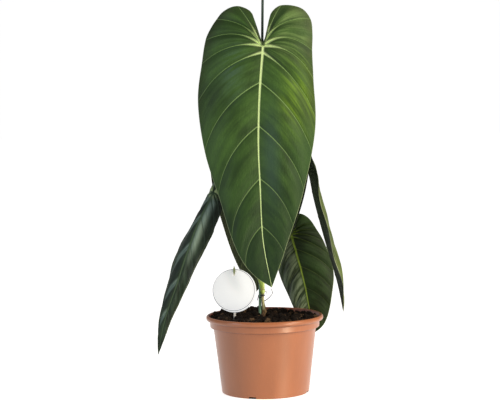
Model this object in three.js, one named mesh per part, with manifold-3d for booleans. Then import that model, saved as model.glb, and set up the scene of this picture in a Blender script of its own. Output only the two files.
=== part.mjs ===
// A philodendron with long velvet leaves, grown in a round plastic pot.
//
// Millimetres, +Z up. The origin is the middle of the pot's underside, +X is to the right and
// -Y is the front. The largest leaf hangs in front of the stake, a second one hangs behind it,
// and three smaller ones hang to the left, to the back right and to the right.

import * as THREE from 'three';
import { mergeVertices } from 'three/addons/utils/BufferGeometryUtils.js';
import Module from 'manifold-3d';

const wasm = await Module();
wasm.setup();

// ---------------------------------------------------------------- driving dimensions

const GAP = 0.3; // clearance between pieces that touch

const POT = {
  height: 112,
  rimRadius: 85,
  collarRadius: 79.5,
  neckRadius: 74.5,
  footRadius: 63.3,
  wall: 1.6,
  beadHeight: 7.5, // of the rolled rim
  beadInset: 2.6, // from the rim's edge to the top of its roll
  collarHeight: 10,
  floorRise: 4, // the floor's underside above the table
  hubRadius: 21, // the middle of the floor, which stands on the table
  sides: 42,
};

const DRAIN = {
  holes: 8,
  holeRadius: 4,
  holeDepth: 8,
  holeCircle: 44,
  notches: 4,
  firstNotch: -18, // degrees, from +X
  notchWidth: 11,
  notchHeight: 2.6,
  notchLength: 10,
};

const SOIL = {
  level: 106.5,
  edgeDrop: 4, // from the level down to the wall's last ring
  rings: [68, 57, 46, 36, 26, 17, 8, 0],
  mounds: [
    { height: 10, centre: [-44, 34], spread: 44 },
    { height: 2, centre: [0, 0], spread: 26 },
    { height: -3, centre: [50, 30], spread: 39 },
  ],
  moundEdge: 80, // radius at which the mounds end
  roughness: 1.6,
  seed: 17,
};

const CHIPS = { count: 16, nearest: 18, farthest: 68, length: [4, 9], width: [3, 6], height: [2.6, 4.2] };

const STAKE = {
  foot: [-8.9, 0, 9],
  top: [4.3, 0, 600],
  footRadius: 2.4,
  topRadius: 2.0,
  pointLength: 14,
  pointRadius: 1,
  topRounding: 1,
  sides: 10,
};

const STEM = {
  path: [
    [-0.2, 0.8, 66],
    [-0.2, 0.6, 96],
    [-0.3, 0.2, 116],
    [-2.0, -3.4, 132],
    [-2.3, -6.4, 150],
    [-1.9, -7.0, 190],
    [-0.9, -7.0, 225],
    [-0.4, -7.0, 252],
  ],
  heights: [66, 114, 123, 130, 141, 146, 252],
  radii: [3.2, 3.3, 2.7, 2.1, 2.1, 3.0, 2.7], // at these heights, with a waist above the foot
  waist: 2.1,
  nodeBulge: 0.7,
  nodes: [147, 166, 186, 213, 240], // heights of the leaf scars
  sides: 10,
};

const AERIAL_ROOTS = [
  {
    radius: 0.6,
    path: [
      [-1.6, -3.2, 131], [4.7, -5, 135], [8.7, -6, 139], [11.9, -6, 143.8], [11.4, -6, 146.5],
      [9.7, -6, 150],
    ],
  },
  { radius: 0.5, path: [[-0.6, -6, 145.5], [2.6, -7.5, 146], [4, -7.6, 144.5], [3.6, -7.8, 142.6]] },
];

const TIE = { height: 140.5, radius: 0.55, clearance: 0.45, tail: 5, droop: 9 };

const LABEL = {
  centre: [-43, -14, 149],
  radius: 31.5,
  thickness: 0.8,
  leanBack: 14, // degrees
  slotWidth: 4.2,
  slotHeight: 5.6,
  slotRise: 24, // above the disc's middle, in its own plane
  stickWidth: 3.2,
  stickThickness: 1.2,
  stickOffset: 1.3, // from the disc's plane to the stick's, behind it and in front of it
  stickBend: 5, // height over which the stick comes through the slot
  stickTop: 36, // above and below the disc's middle, in its own plane
  stickFoot: -86,
  stickPoint: 5,
};

// Where the lateral veins leave the midrib, as shares of its length. The first ones fan out
// from the petiole into the lobe.
const VEIN_STARTS = [0.008, 0.008, 0.008, 0.008, 0.008, 0.035, 0.157, 0.333, 0.547, 0.74, 1];
const VEINS = VEIN_STARTS.length - 1;
const LAST_OF_FAN = 4;

// Margins of the largest leaf, from the sinus round the lobe to the tip: [vein, distance from
// the midrib, distance from the petiole towards the tip].
const LARGE_LEFT = [
  [0, 2.5, 1], [0.25, 11, -14], [0.5, 13.5, -30], [0.75, 20.5, -46], [1, 39, -53],
  [1.5, 58, -46.5], [2, 68.5, -34], [2.5, 77, -19], [3, 82.5, -3], [4, 85.5, 33],
  [5, 87.5, 84], [6, 76.5, 150], [7, 60, 211], [8, 43.5, 273], [9, 30, 312], [9.5, 17, 333],
  [10, 0, 350],
];
const LARGE_RIGHT = [
  [0, 2.5, 0.5], [0.25, 5.2, -13], [0.5, 5.6, -31], [0.75, 9.4, -47], [1, 22, -57.5],
  [1.5, 50, -56], [2, 65, -41], [2.5, 69, -20], [3, 70, 3], [4, 75, 43],
  [5, 81, 103], [6, 76, 155], [7, 61.5, 210], [8, 44, 262], [9, 26.5, 304], [9.5, 13, 328],
  [10, 0, 350],
];

// Margin of the right half of the leaf that hangs at the back right.
const BACK_RIGHT = [
  [0, 1, 0], [0.25, 2.4, -8], [0.5, 5.2, -16], [0.75, 11.5, -24], [1, 21, -27.5],
  [1.5, 31, -20], [2, 36.5, -9], [3, 40.3, 6.3], [4, 44.2, 25], [5, 46.8, 47],
  [6, 45.8, 73], [7, 39.8, 96], [8, 32, 120], [9, 22, 141], [9.5, 13.5, 150], [10, 0, 158],
];

// Margin of a younger leaf, as shares of its half-width and its length.
const YOUNG_HALF = [
  [0, 0.02, 0], [0.25, 0.05, -0.05], [0.5, 0.11, -0.10], [0.75, 0.24, -0.14],
  [1, 0.44, -0.155], [1.5, 0.64, -0.12], [2, 0.76, -0.07], [3, 0.90, 0.04], [4, 0.98, 0.16],
  [5, 1, 0.30], [6, 0.93, 0.46], [7, 0.78, 0.61], [8, 0.57, 0.76], [9, 0.33, 0.89],
  [9.5, 0.17, 0.95], [10, 0, 1],
];

const VEIN_REACH = 0.56; // how far a lateral vein keeps its first direction
const VEIN_BEND = 20; // degrees between its first direction and its end, below the lobes
const RIB_FLANK = 3.0; // width of the midrib's flank under the blade
const RIB_DEPTH = 1.6;

const PETIOLE_STEP = 16; // length of blade for each step of its petiole, past the first ten
const PETIOLE_SIDES = 7;
const SHEATH_FADE = 28; // how fast the sheath at the petiole's foot narrows
const JOINT = {
  inset: 3, // from the sinus to the petiole's axis
  elbow: 7, // length of the petiole's straight end
  ribDepth: 1.6, // of the midrib's foot under the blade, where the petiole meets it
};

// Each midrib starts a fifth of its length above the petiole, where the lobes reach, and then
// has six points from the petiole to the tip. turn is the compass direction of the blade's
// right half, in degrees, at each of these points. rise is the slope of a half beside
// the midrib, bow is how far it bends down towards its margin, lobeBend is how far the veins
// of its lobe bend, in degrees, quilt is the height of the cushions between its veins, and
// scallop is how deeply its margin is drawn in at each vein, as a share of its width.
const LEAVES = [
  {
    name: 'leaf_1',
    length: 350,
    midrib: [
      [8, -24, 569], [3.2, -32, 501], [-2.8, -39, 432], [-5.6, -45, 362], [-3.8, -50, 293],
      [-1, -55, 224], [10.2, -60, 158],
    ],
    turn: [0, 0, 0, 0, 0, 0, 0],
    left: { margin: LARGE_LEFT, width: 85, rise: 0.26, bow: 0.48, lobeBend: 30, quilt: 3 },
    right: { margin: LARGE_RIGHT, width: 82, rise: 0.24, bow: 0.42, lobeBend: 45, quilt: 3 },
    wave: 1.6,
    thickness: 0.9,
    columnsPerVein: 4,
    rows: 6,
    petiole: [
      [-0.5, -7, 246], [1, -9, 300], [0.6, -10, 380], [1, -9.5, 450], [2, -11, 480],
      [2.8, -15, 494],
    ],
    petioleRadii: [2.6, 2.6, 2.3],
  },
  {
    name: 'leaf_2',
    length: 280,
    midrib: [
      [-4, 38, 470], [-5.5, 50, 420], [-6, 57, 365], [-7, 60, 309], [-8, 60, 253],
      [-10.5, 58, 195], [-12, 53, 138],
    ],
    turn: [180, 180, 180, 180, 180, 180, 180],
    left: { half: 77, rise: 0.2, bow: 0.4, lobeBend: 30, quilt: 2.4 },
    right: { half: 71, rise: 0.2, bow: 0.4, lobeBend: 30, quilt: 2.4 },
    wave: 1.6,
    thickness: 0.9,
    columnsPerVein: 3,
    rows: 5,
    petiole: [
      [-1.2, -7, 216], [3.5, -5.5, 236], [7, 4, 268], [3, 13, 320], [-2, 17, 375],
      [-4.5, 25, 404], [-5.3, 33, 415],
    ],
    petioleRadii: [3.4, 2.5, 2.1],
  },
  {
    name: 'leaf_3',
    length: 250,
    midrib: [
      [-53, -10, 338], [-70, -20, 293], [-92.8, -24, 248], [-111, -26, 201],
      [-127, -26, 155], [-143.4, -24, 108.5], [-154.4, -20, 58],
    ],
    turn: [-34, -26, -22, -6, -3, -3, -5],
    left: { half: 17, rise: 0.3, bow: 1.6, lobeBend: 30, quilt: 2.5, scallop: 0.12 },
    right: { half: 16.2, rise: 0.3, bow: 1.6, lobeBend: 30, quilt: 1.5 },
    wave: 1.0,
    thickness: 0.9,
    columnsPerVein: 3,
    rows: 5,
    petiole: [
      [-2.3, -6.4, 148], [-6, -10.5, 161], [-20, -10, 205], [-40, 0, 252], [-54, 3, 282],
      [-62, -3, 292],
    ],
    petioleRadii: [3.3, 2.3, 1.8],
  },
  {
    name: 'leaf_4',
    length: 158,
    midrib: [
      [34.5, 80, 253], [42.6, 84, 223], [50.6, 86, 192.5], [58.6, 88, 162], [65.2, 89, 131],
      [69.6, 88, 100], [71, 85, 68],
    ],
    turn: [-20, -20, -20, -18, -18, -16, -14],
    left: { half: 40.5, rise: 0.2, bow: 0.5, lobeBend: 30, quilt: 2.2 },
    right: { margin: BACK_RIGHT, width: 50, rise: 0.2, bow: 0.42, lobeBend: 30, quilt: 1.8 },
    wave: 1.2,
    thickness: 0.9,
    columnsPerVein: 3,
    rows: 5,
    petiole: [
      [-2.1, -6.6, 167], [4, 0, 168], [10.5, 16, 169], [17, 36, 171], [23, 54, 177],
      [26.5, 67, 194], [31.5, 76, 220], [38, 83, 242], [43.2, 93, 238],
    ],
    petioleRadii: [3.2, 2.2, 1.7],
  },
  {
    name: 'leaf_5',
    length: 217,
    midrib: [
      [57, 6, 360], [66.8, 2, 320.5], [74.2, 1, 280], [84.2, 0, 239], [95.5, 0, 197],
      [107, 0, 155.5], [114.8, 0, 114],
    ],
    turn: [97, 94.5, 92, 89, 86.5, 84, 81.5],
    left: { half: 33, rise: 0.6, bow: 0.41, lobeBend: 30, quilt: 1.6 },
    right: { half: 31, rise: 0.6, bow: 0.2, lobeBend: 30, quilt: 1.6 },
    wave: 1.4,
    thickness: 0.9,
    columnsPerVein: 3,
    rows: 5,
    petiole: [
      [-1.9, -7, 187], [5.5, -7.5, 206], [22, -6, 252], [38, -2, 292], [49, 1, 313],
    ],
    petioleRadii: [3.3, 2.3, 1.8],
  },
];

const COLOURS = {
  terracotta: 0xb0714f,
  earth: 0x2a2119,
  greenWood: 0x35413a,
  stemGreen: 0x8aa046,
  petioleGreen: 0x7c9a3e,
  bladeGreen: 0x3f5630,
  card: 0xf4f4f2,
  black: 0x1d1b19,
};

// ---------------------------------------------------------------- small helpers

const vec = (p) => new THREE.Vector3(p[0], p[1], p[2]);

const radians = (degrees) => (degrees * Math.PI) / 180;

const mix = (a, b, t) => a + (b - a) * t;

const smooth = (low, high, at) => THREE.MathUtils.smoothstep(at, low, high);

// A repeatable random number between 0 and 1.
function seeded(seed) {
  let state = seed;
  return () => {
    state = (state * 1664525 + 1013904223) % 4294967296;
    return state / 4294967296;
  };
}

// The value at one place of a smooth curve that passes through values at rising knots.
function through(knots, values, at) {
  const last = knots.length - 1;
  let i = 0;
  while (i < last - 1 && at > knots[i + 1]) i += 1;
  const slope = (k) => {
    const before = Math.max(k - 1, 0);
    const after = Math.min(k + 1, last);
    return (values[after] - values[before]) / (knots[after] - knots[before]);
  };
  const span = knots[i + 1] - knots[i];
  const t = (at - knots[i]) / span;
  const rise = values[i + 1] - values[i];
  const start = slope(i) * span;
  const end = slope(i + 1) * span;
  return values[i] + t * (start + t * (3 * rise - 2 * start - end + t * (start + end - 2 * rise)));
}

function bufferGeometry(vertices, triangles) {
  const geometry = new THREE.BufferGeometry();
  geometry.setAttribute('position', new THREE.Float32BufferAttribute(vertices.flat(), 3));
  geometry.setIndex(triangles.flat());
  return geometry;
}

function solidOf(geometry) {
  const plain = geometry.clone();
  plain.deleteAttribute('normal');
  plain.deleteAttribute('uv');
  const merged = mergeVertices(plain, 1e-4);
  const vertProperties = new Float32Array(merged.attributes.position.array);
  const triVerts = new Uint32Array(merged.index.array);
  return new wasm.Manifold(new wasm.Mesh({ numProp: 3, vertProperties, triVerts }));
}

function geometryOf(solid) {
  const { vertProperties, triVerts } = solid.getMesh();
  const geometry = new THREE.BufferGeometry();
  geometry.setAttribute('position', new THREE.Float32BufferAttribute(vertProperties, 3));
  geometry.setIndex(Array.from(triVerts));
  return geometry;
}

const largestPiece = (solid) => solid.decompose().sort((a, b) => b.volume() - a.volume())[0];

// A lathe profile of [radius, height] points, turned about the upright axis.
function turned(profile, sides) {
  const points = profile.map(([radius, height]) => new THREE.Vector2(radius, height));
  return new THREE.LatheGeometry(points, sides).rotateX(Math.PI / 2);
}

// A closed round bar along a path, with a radius that varies along it. overrun lengthens it
// past both ends of the path.
function bar(path, radiusAt, steps, sides, overrun = 0) {
  const curve = new THREE.CatmullRomCurve3(path.map(vec), false, 'centripetal');
  const frames = curve.computeFrenetFrames(steps, false);
  const vertices = [];
  const centres = [];
  for (let i = 0; i <= steps; i += 1) {
    const past = (i === steps ? overrun : 0) - (i === 0 ? overrun : 0);
    const centre = curve.getPointAt(i / steps).addScaledVector(frames.tangents[i], past);
    const radius = radiusAt(i / steps, centre);
    centres.push(centre);
    for (let k = 0; k < sides; k += 1) {
      const angle = (2 * Math.PI * k) / sides;
      const point = centre.clone();
      point.addScaledVector(frames.normals[i], radius * Math.cos(angle));
      point.addScaledVector(frames.binormals[i], radius * Math.sin(angle));
      vertices.push(point.toArray());
    }
  }
  const foot = vertices.push(centres[0].toArray()) - 1;
  const head = vertices.push(centres[steps].toArray()) - 1;
  const triangles = [];
  for (let k = 0; k < sides; k += 1) {
    const next = (k + 1) % sides;
    for (let i = 0; i < steps; i += 1) {
      const low = i * sides;
      const high = low + sides;
      triangles.push([low + k, low + next, high + next], [low + k, high + next, high + k]);
    }
    triangles.push([foot, next, k], [head, steps * sides + k, steps * sides + next]);
  }
  return bufferGeometry(vertices, triangles);
}

// A straight-sided block, placed by its middle and turned.
function block(size, centre, euler = new THREE.Euler()) {
  const geometry = new THREE.BoxGeometry(...size);
  geometry.applyMatrix4(new THREE.Matrix4().makeRotationFromEuler(euler));
  return geometry.translate(...centre);
}

// ---------------------------------------------------------------- pot

const collarFoot = POT.height - POT.beadHeight - POT.collarHeight;
const beadFoot = POT.height - POT.beadHeight;
const beadInner = POT.collarRadius + POT.wall;

// The inside of the pot from the floor's middle to the top of the collar, kept back from the
// wall by a clearance, so that the soil follows it.
function insideProfile(back) {
  const floor = POT.floorRise + POT.wall + back;
  const wall = POT.wall + back;
  return [
    [0, POT.wall + back],
    [POT.hubRadius + 0.3 - back, POT.wall + back],
    [POT.hubRadius + 4.3 - back, floor],
    [POT.footRadius - wall + 0.4, floor],
    [POT.neckRadius - wall - 0.3, collarFoot - 0.6 + back],
    [POT.collarRadius - wall - 0.6, collarFoot + 1.4 + back],
    [POT.collarRadius - wall, beadFoot],
  ];
}

function potProfile() {
  const rim = POT.rimRadius;
  const top = POT.height;
  const outside = [
    [0, 0],
    [POT.hubRadius, 0],
    [POT.hubRadius + 4, POT.floorRise],
    [POT.footRadius - POT.wall, POT.floorRise],
    [POT.footRadius - POT.wall, 0],
    [POT.footRadius - 0.3, 0],
    [POT.footRadius, 0.8],
    [POT.neckRadius, collarFoot],
    [POT.collarRadius - 0.9, collarFoot + 0.4],
    [POT.collarRadius - 0.3, collarFoot + 1.2],
    [POT.collarRadius, beadFoot - 0.4],
    [rim - POT.beadInset, beadFoot],
    [rim - 0.8, beadFoot + 1.2],
    [rim, beadFoot + 3.2],
    [rim - 0.3, top - 2.2],
    [rim - 1.4, top - 0.6],
    [rim - POT.beadInset, top],
    [beadInner, top - 0.8],
  ];
  return [...outside, ...insideProfile(0).reverse()];
}

function pot() {
  let solid = solidOf(turned(potProfile(), POT.sides));
  for (let i = 0; i < DRAIN.holes; i += 1) {
    const hole = new THREE.CylinderGeometry(DRAIN.holeRadius, DRAIN.holeRadius, DRAIN.holeDepth, 12);
    hole.rotateX(Math.PI / 2).translate(DRAIN.holeCircle, 0, POT.floorRise);
    solid = solid.subtract(solidOf(hole.rotateZ(radians(((i + 0.5) / DRAIN.holes) * 360))));
  }
  for (let i = 0; i < DRAIN.notches; i += 1) {
    const notchSize = [DRAIN.notchLength, DRAIN.notchWidth, 2 * DRAIN.notchHeight];
    const notch = block(notchSize, [POT.footRadius, 0, 0]);
    const angle = radians(DRAIN.firstNotch + (i / DRAIN.notches) * 360);
    solid = solid.subtract(solidOf(notch.rotateZ(angle)));
  }
  return geometryOf(solid);
}

// ---------------------------------------------------------------- soil

// Height of the soil's surface: a heap at the back left, a mound round the stem, a dip at the
// right, and clods.
function soilHeight(x, y) {
  let height = SOIL.level;
  const fade = 1 - (Math.hypot(x, y) / SOIL.moundEdge) ** 6;
  for (const mound of SOIL.mounds) {
    const distance = Math.hypot(x - mound.centre[0], y - mound.centre[1]);
    height += fade * mound.height * Math.exp(-((distance / mound.spread) ** 2));
  }
  const ridges = Math.sin(0.31 * x + 1.3 * Math.sin(0.17 * y));
  const clods = ridges * Math.cos(0.27 * y - 0.8 * Math.sin(0.21 * x));
  const crumbs = Math.sin(0.83 * x + 0.4 * y) * Math.sin(0.71 * y - 0.35 * x);
  return height + SOIL.roughness * (0.7 * clods + 0.4 * crumbs);
}

function soilBody() {
  const edge = POT.collarRadius - POT.wall - 2 * GAP;
  const side = [...insideProfile(GAP).slice(0, -1), [edge, SOIL.level - SOIL.edgeDrop]];
  const surface = [edge - 0.2, ...SOIL.rings].map((radius) => [radius, SOIL.level]);
  const profile = [...side, ...surface];
  const geometry = turned(profile, POT.sides);
  const position = geometry.attributes.position;
  for (let i = 0; i < position.count; i += 1) {
    if (position.getZ(i) > SOIL.level - 1) {
      position.setZ(i, soilHeight(position.getX(i), position.getY(i)));
    }
  }
  return solidOf(geometry);
}

// Bark chips that lie in the surface, fused into it.
function withChips(soil) {
  const random = seeded(SOIL.seed);
  let solid = soil;
  for (let i = 0; i < CHIPS.count; i += 1) {
    const angle = 2 * Math.PI * random();
    const radius = mix(CHIPS.nearest, CHIPS.farthest, Math.sqrt(random()));
    const [x, y] = [radius * Math.cos(angle), radius * Math.sin(angle)];
    const size = [CHIPS.length, CHIPS.width, CHIPS.height].map(([low, high]) => mix(low, high, random()));
    const turn = new THREE.Euler(0.5 * random(), 0.5 * random(), 2 * Math.PI * random());
    solid = solid.add(solidOf(block(size, [x, y, soilHeight(x, y)], turn)));
  }
  return solid;
}

// ---------------------------------------------------------------- stake, stem, roots and tie

function stake(grow = 0) {
  const foot = vec(STAKE.foot);
  const axis = vec(STAKE.top).sub(foot);
  const length = axis.length();
  const profile = [
    [0, -grow],
    [STAKE.pointRadius + grow, -grow],
    [STAKE.footRadius + grow, STAKE.pointLength],
    [STAKE.topRadius + grow, length - STAKE.topRounding],
    [STAKE.topRadius - STAKE.topRounding + grow, length + grow],
    [0, length + grow],
  ];
  const upright = new THREE.Vector3(0, 0, 1);
  const lean = new THREE.Quaternion().setFromUnitVectors(upright, axis.normalize());
  return turned(profile, STAKE.sides).applyQuaternion(lean).translate(...STAKE.foot);
}

function stem(grow = 0) {
  const radiusAt = (_, centre) => {
    const bulge = STEM.nodes.map((z) => Math.exp(-(((centre.z - z) / 2.6) ** 2)));
    const plain = through(STEM.heights, STEM.radii, centre.z);
    return plain + STEM.nodeBulge * Math.max(...bulge) + grow;
  };
  return bar(STEM.path, radiusAt, 38, STEM.sides, grow);
}

function stemWithRoots() {
  let solid = solidOf(stem());
  for (const root of AERIAL_ROOTS) {
    const radiusAt = (t) => root.radius * (1 - 0.4 * t);
    solid = solid.add(solidOf(bar(root.path, radiusAt, 12, 6)));
  }
  return solid;
}

// A wire tie that hooks round the back of the stake and the front of the stem and ends in a
// tail that hangs at the left.
function tie() {
  const z = TIE.height;
  const at = (path, height) => {
    const curve = new THREE.CatmullRomCurve3(path.map(vec), false, 'centripetal');
    const points = curve.getPoints(200);
    return points.reduce((best, p) => (Math.abs(p.z - height) < Math.abs(best.z - height) ? p : best));
  };
  const post = at([STAKE.foot, STAKE.top], z);
  const vine = at(STEM.path, z);
  const reach = TIE.radius + TIE.clearance;
  const postReach = STAKE.footRadius + reach;
  const vineReach = STEM.waist + reach + GAP / 2;
  const across = new THREE.Vector3(vine.x - post.x, vine.y - post.y, 0).normalize();
  const round = (centre, radius, degrees, lift) => {
    const turn = across.clone().applyAxisAngle(new THREE.Vector3(0, 0, 1), radians(degrees));
    return [centre.x + radius * turn.x, centre.y + radius * turn.y, z + lift];
  };
  const path = [
    round(post, postReach + TIE.tail, 172, -TIE.droop),
    round(post, postReach + 2.6, 176, -0.5 * TIE.droop),
    round(post, postReach + 1.6, 168, -0.6),
    round(post, postReach, 150, 0.6),
    round(post, postReach, 95, 0.3),
    round(vine, vineReach, 80, 0),
    round(vine, vineReach, 30, 0),
    round(vine, vineReach, -30, 0),
    round(vine, vineReach, -75, 0.1),
    round(vine, vineReach + 0.3, -115, 0.3),
  ];
  return bar(path, () => TIE.radius, 32, 6);
}

// ---------------------------------------------------------------- label

function labelFrame() {
  const turn = new THREE.Matrix4().makeRotationX(radians(90 - LABEL.leanBack));
  return turn.setPosition(...LABEL.centre);
}

function labelDisc() {
  const outline = new THREE.Shape();
  outline.absarc(0, 0, LABEL.radius, 0, 2 * Math.PI, false);
  const slot = new THREE.Path();
  const [w, h, y] = [LABEL.slotWidth / 2, LABEL.slotHeight / 2, LABEL.slotRise];
  slot.moveTo(-w, y - h).lineTo(-w, y + h).lineTo(w, y + h).lineTo(w, y - h).closePath();
  outline.holes.push(slot);
  const settings = { depth: LABEL.thickness, bevelEnabled: false, curveSegments: 30 };
  const geometry = new THREE.ExtrudeGeometry(outline, settings);
  return geometry.translate(0, 0, -LABEL.thickness / 2).applyMatrix4(labelFrame());
}

// The stick runs up behind the disc, comes forward through its slot and ends in a point.
function labelStick() {
  const { stickOffset: offset, stickThickness: thickness, stickWidth: width } = LABEL;
  const { stickFoot: foot, stickTop: top, slotRise: rise } = LABEL;
  const bend = LABEL.stickBend / 2;
  const middle = [[-offset, foot], [-offset, rise - bend], [offset, rise + bend], [offset, top]];
  const front = middle.map(([w, v]) => new THREE.Vector2(w + thickness / 2, v));
  const back = middle.map(([w, v]) => new THREE.Vector2(w - thickness / 2, v)).reverse();
  const side = new THREE.ExtrudeGeometry(new THREE.Shape([...front, ...back]), {
    depth: width,
    bevelEnabled: false,
  });
  side.rotateY(-Math.PI / 2).translate(width / 2, 0, 0);
  const half = width / 2 + 1;
  const shoulder = top - LABEL.stickPoint;
  const outlinePoints = [[-half, foot - 1], [half, foot - 1], [half, shoulder], [0, top], [-half, shoulder]];
  const face = new THREE.Shape(outlinePoints.map((p) => new THREE.Vector2(...p)));
  const depth = 4 * offset;
  const outline = new THREE.ExtrudeGeometry(face, { depth, bevelEnabled: false });
  outline.translate(0, 0, -depth / 2);
  const solid = solidOf(side).intersect(solidOf(outline));
  return geometryOf(solid).applyMatrix4(labelFrame());
}

// The straight hole that the stick stands in.
function labelStickHole() {
  const size = [LABEL.stickWidth + 2 * GAP, LABEL.radius * 2, LABEL.stickThickness + 2 * GAP];
  const middle = [0, LABEL.stickFoot - GAP + size[1] / 2, -LABEL.stickOffset];
  return block(size, middle).applyMatrix4(labelFrame());
}

// ---------------------------------------------------------------- leaves

// One half's margin and the start of its lateral vein at a place between veins, in the flat
// leaf: x away from the midrib, l towards the tip.
function halfMargin(leaf, half) {
  const scaled = ([vein, x, l]) => [vein, x * half.half, l * leaf.length];
  const points = half.margin ?? YOUNG_HALF.map(scaled);
  const knots = points.map((p) => p[0]);
  const across = points.map((p) => p[1]);
  const along = points.map((p) => p[2]);
  return (q) => {
    const dent = 1 + (half.scallop ?? 0) * (Math.abs(Math.sin(Math.PI * q)) - 0.6) * smooth(2, 4, q);
    return { x: dent * through(knots, across, q), l: through(knots, along, q) };
  };
}

const veinKnots = VEIN_STARTS.map((_, i) => i);

const veinStart = (leaf, q) => {
  return leaf.length * Math.max(VEIN_STARTS[0], through(veinKnots, VEIN_STARTS, q));
};

// A point of the flat half-leaf: q counts the veins, t runs from the midrib to the margin.
function flatPoint(leaf, half, q, t) {
  const base = veinStart(leaf, q);
  const end = halfMargin(leaf, half)(q);
  const run = end.l - base;
  const length = Math.hypot(end.x, run);
  const bend = radians(mix(half.lobeBend, VEIN_BEND, smooth(3, 5, q))) * smooth(0.5, 2.5, q);
  const direction = Math.atan2(run, end.x) - bend;
  const handle = 2 * t * (1 - t) * VEIN_REACH * length;
  return {
    x: handle * Math.cos(direction) + t * t * end.x,
    l: base * (1 - t * t) + handle * Math.sin(direction) + t * t * end.l,
    length,
  };
}

// The blade's frame at a distance along the midrib: its centre, its right side and its normal.
function bladeFrame(leaf, l) {
  const knots = leaf.midrib.map((_, i) => (i / 5 - 0.2) * leaf.length);
  const at = (where) => vec([0, 1, 2].map((k) => through(knots, leaf.midrib.map((p) => p[k]), where)));
  const step = 0.5;
  const along = at(l + step).sub(at(l - step)).normalize();
  const turn = radians(through(knots, leaf.turn, l));
  const side = new THREE.Vector3(Math.cos(turn), Math.sin(turn), 0);
  side.addScaledVector(along, -side.dot(along)).normalize();
  return { centre: at(l), side, normal: along.clone().cross(side) };
}

// Height of the upper face over the plane of the blade's frame: the fold at the midrib, the
// bend towards the margin, the quilting between the veins and the waves of the margin.
function bladeHeight(leaf, half, x, q, t) {
  const width = half.width ?? half.half;
  const fold = half.rise * x - (half.bow * x * x) / width;
  const pleat = Math.abs(Math.sin(Math.PI * q)) ** 0.8 * (4 * t * (1 - t)) ** 0.7;
  const fade = smooth(0, 1.5, q) * smooth(VEINS, VEINS - 1.5, q);
  const wave = t ** 3 * Math.sin(2.4 * q + (half === leaf.left ? 0.4 : 2.1));
  return fold + fade * (half.quilt * pleat + leaf.wave * wave);
}

function bladePoint(leaf, half, sign, q, t) {
  const flat = flatPoint(leaf, half, q, t);
  const { centre, side, normal } = bladeFrame(leaf, flat.l);
  const height = bladeHeight(leaf, half, flat.x, q, t);
  return centre.addScaledVector(side, sign * flat.x).addScaledVector(normal, height);
}

// Rows of one vein: the first lies on the midrib's flank, the others are spread evenly.
function rowShares(leaf, half, q) {
  const { length } = flatPoint(leaf, half, q, 1);
  const flank = Math.min(0.5, RIB_FLANK / length);
  const shares = [0];
  for (let k = 0; k < leaf.rows; k += 1) shares.push(mix(flank, 1, k / (leaf.rows - 1)));
  return shares;
}

// The upper face as points and triangles. Both halves share the points of the midrib.
function bladeSkin(leaf) {
  const columns = VEINS * leaf.columnsPerVein;
  const points = [];
  const depths = [];
  const add = (point, depth) => {
    depths.push(depth);
    return points.push(point) - 1;
  };
  const rib = [];
  for (let j = 0; j <= columns; j += 1) {
    const q = j / leaf.columnsPerVein;
    const inFan = j > 0 && q <= LAST_OF_FAN;
    const depth = RIB_DEPTH * (1 - q / VEINS);
    rib.push(inFan ? rib[0] : add(bladePoint(leaf, leaf.left, -1, q, 0), depth));
  }
  const triangles = [];
  for (const [half, sign] of [[leaf.left, -1], [leaf.right, 1]]) {
    const grid = [];
    for (let j = 0; j < columns; j += 1) {
      const q = j / leaf.columnsPerVein;
      const shares = rowShares(leaf, half, q);
      grid.push(shares.map((t, k) => (k === 0 ? rib[j] : add(bladePoint(leaf, half, sign, q, t), 0))));
    }
    grid.push(new Array(leaf.rows + 1).fill(rib[columns]));
    for (let j = 0; j < columns; j += 1) {
      for (let k = 0; k < leaf.rows; k += 1) {
        const [a, b, c, d] = [grid[j][k], grid[j + 1][k], grid[j + 1][k + 1], grid[j][k + 1]];
        for (const [u, v, w] of [[a, b, c], [a, c, d]]) {
          const flat = u === v || v === w || u === w;
          if (!flat) triangles.push(sign > 0 ? [u, v, w] : [u, w, v]);
        }
      }
    }
  }
  return { points, depths, triangles };
}

function skinNormals(points, triangles) {
  const normals = points.map(() => new THREE.Vector3());
  for (const [a, b, c] of triangles) {
    const edge = points[b].clone().sub(points[a]);
    const face = edge.cross(points[c].clone().sub(points[a]));
    for (const corner of [a, b, c]) normals[corner].add(face);
  }
  return normals.map((n) => n.normalize());
}

// The edges that only one triangle has.
function openEdges(triangles) {
  const open = new Map();
  for (const [a, b, c] of triangles) {
    for (const [from, to] of [[a, b], [b, c], [c, a]]) {
      if (!open.delete(`${to},${from}`)) open.set(`${from},${to}`, [from, to]);
    }
  }
  return [...open.values()];
}

// The blade as a closed sheet: the upper face, the same face set down by its thickness, and
// the wall along its edge.
function blade(leaf) {
  const { points: upper, depths, triangles } = bladeSkin(leaf);
  const normals = skinNormals(upper, triangles);
  const count = upper.length;
  const lower = upper.map((p, i) => {
    return p.clone().addScaledVector(normals[i], -leaf.thickness - depths[i]);
  });
  const faces = [...triangles, ...triangles.map(([a, b, c]) => [a + count, c + count, b + count])];
  for (const [a, b] of openEdges(triangles)) faces.push([b, a, a + count], [b, a + count, b + count]);
  return bufferGeometry([...upper, ...lower].map((p) => p.toArray()), faces);
}

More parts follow.
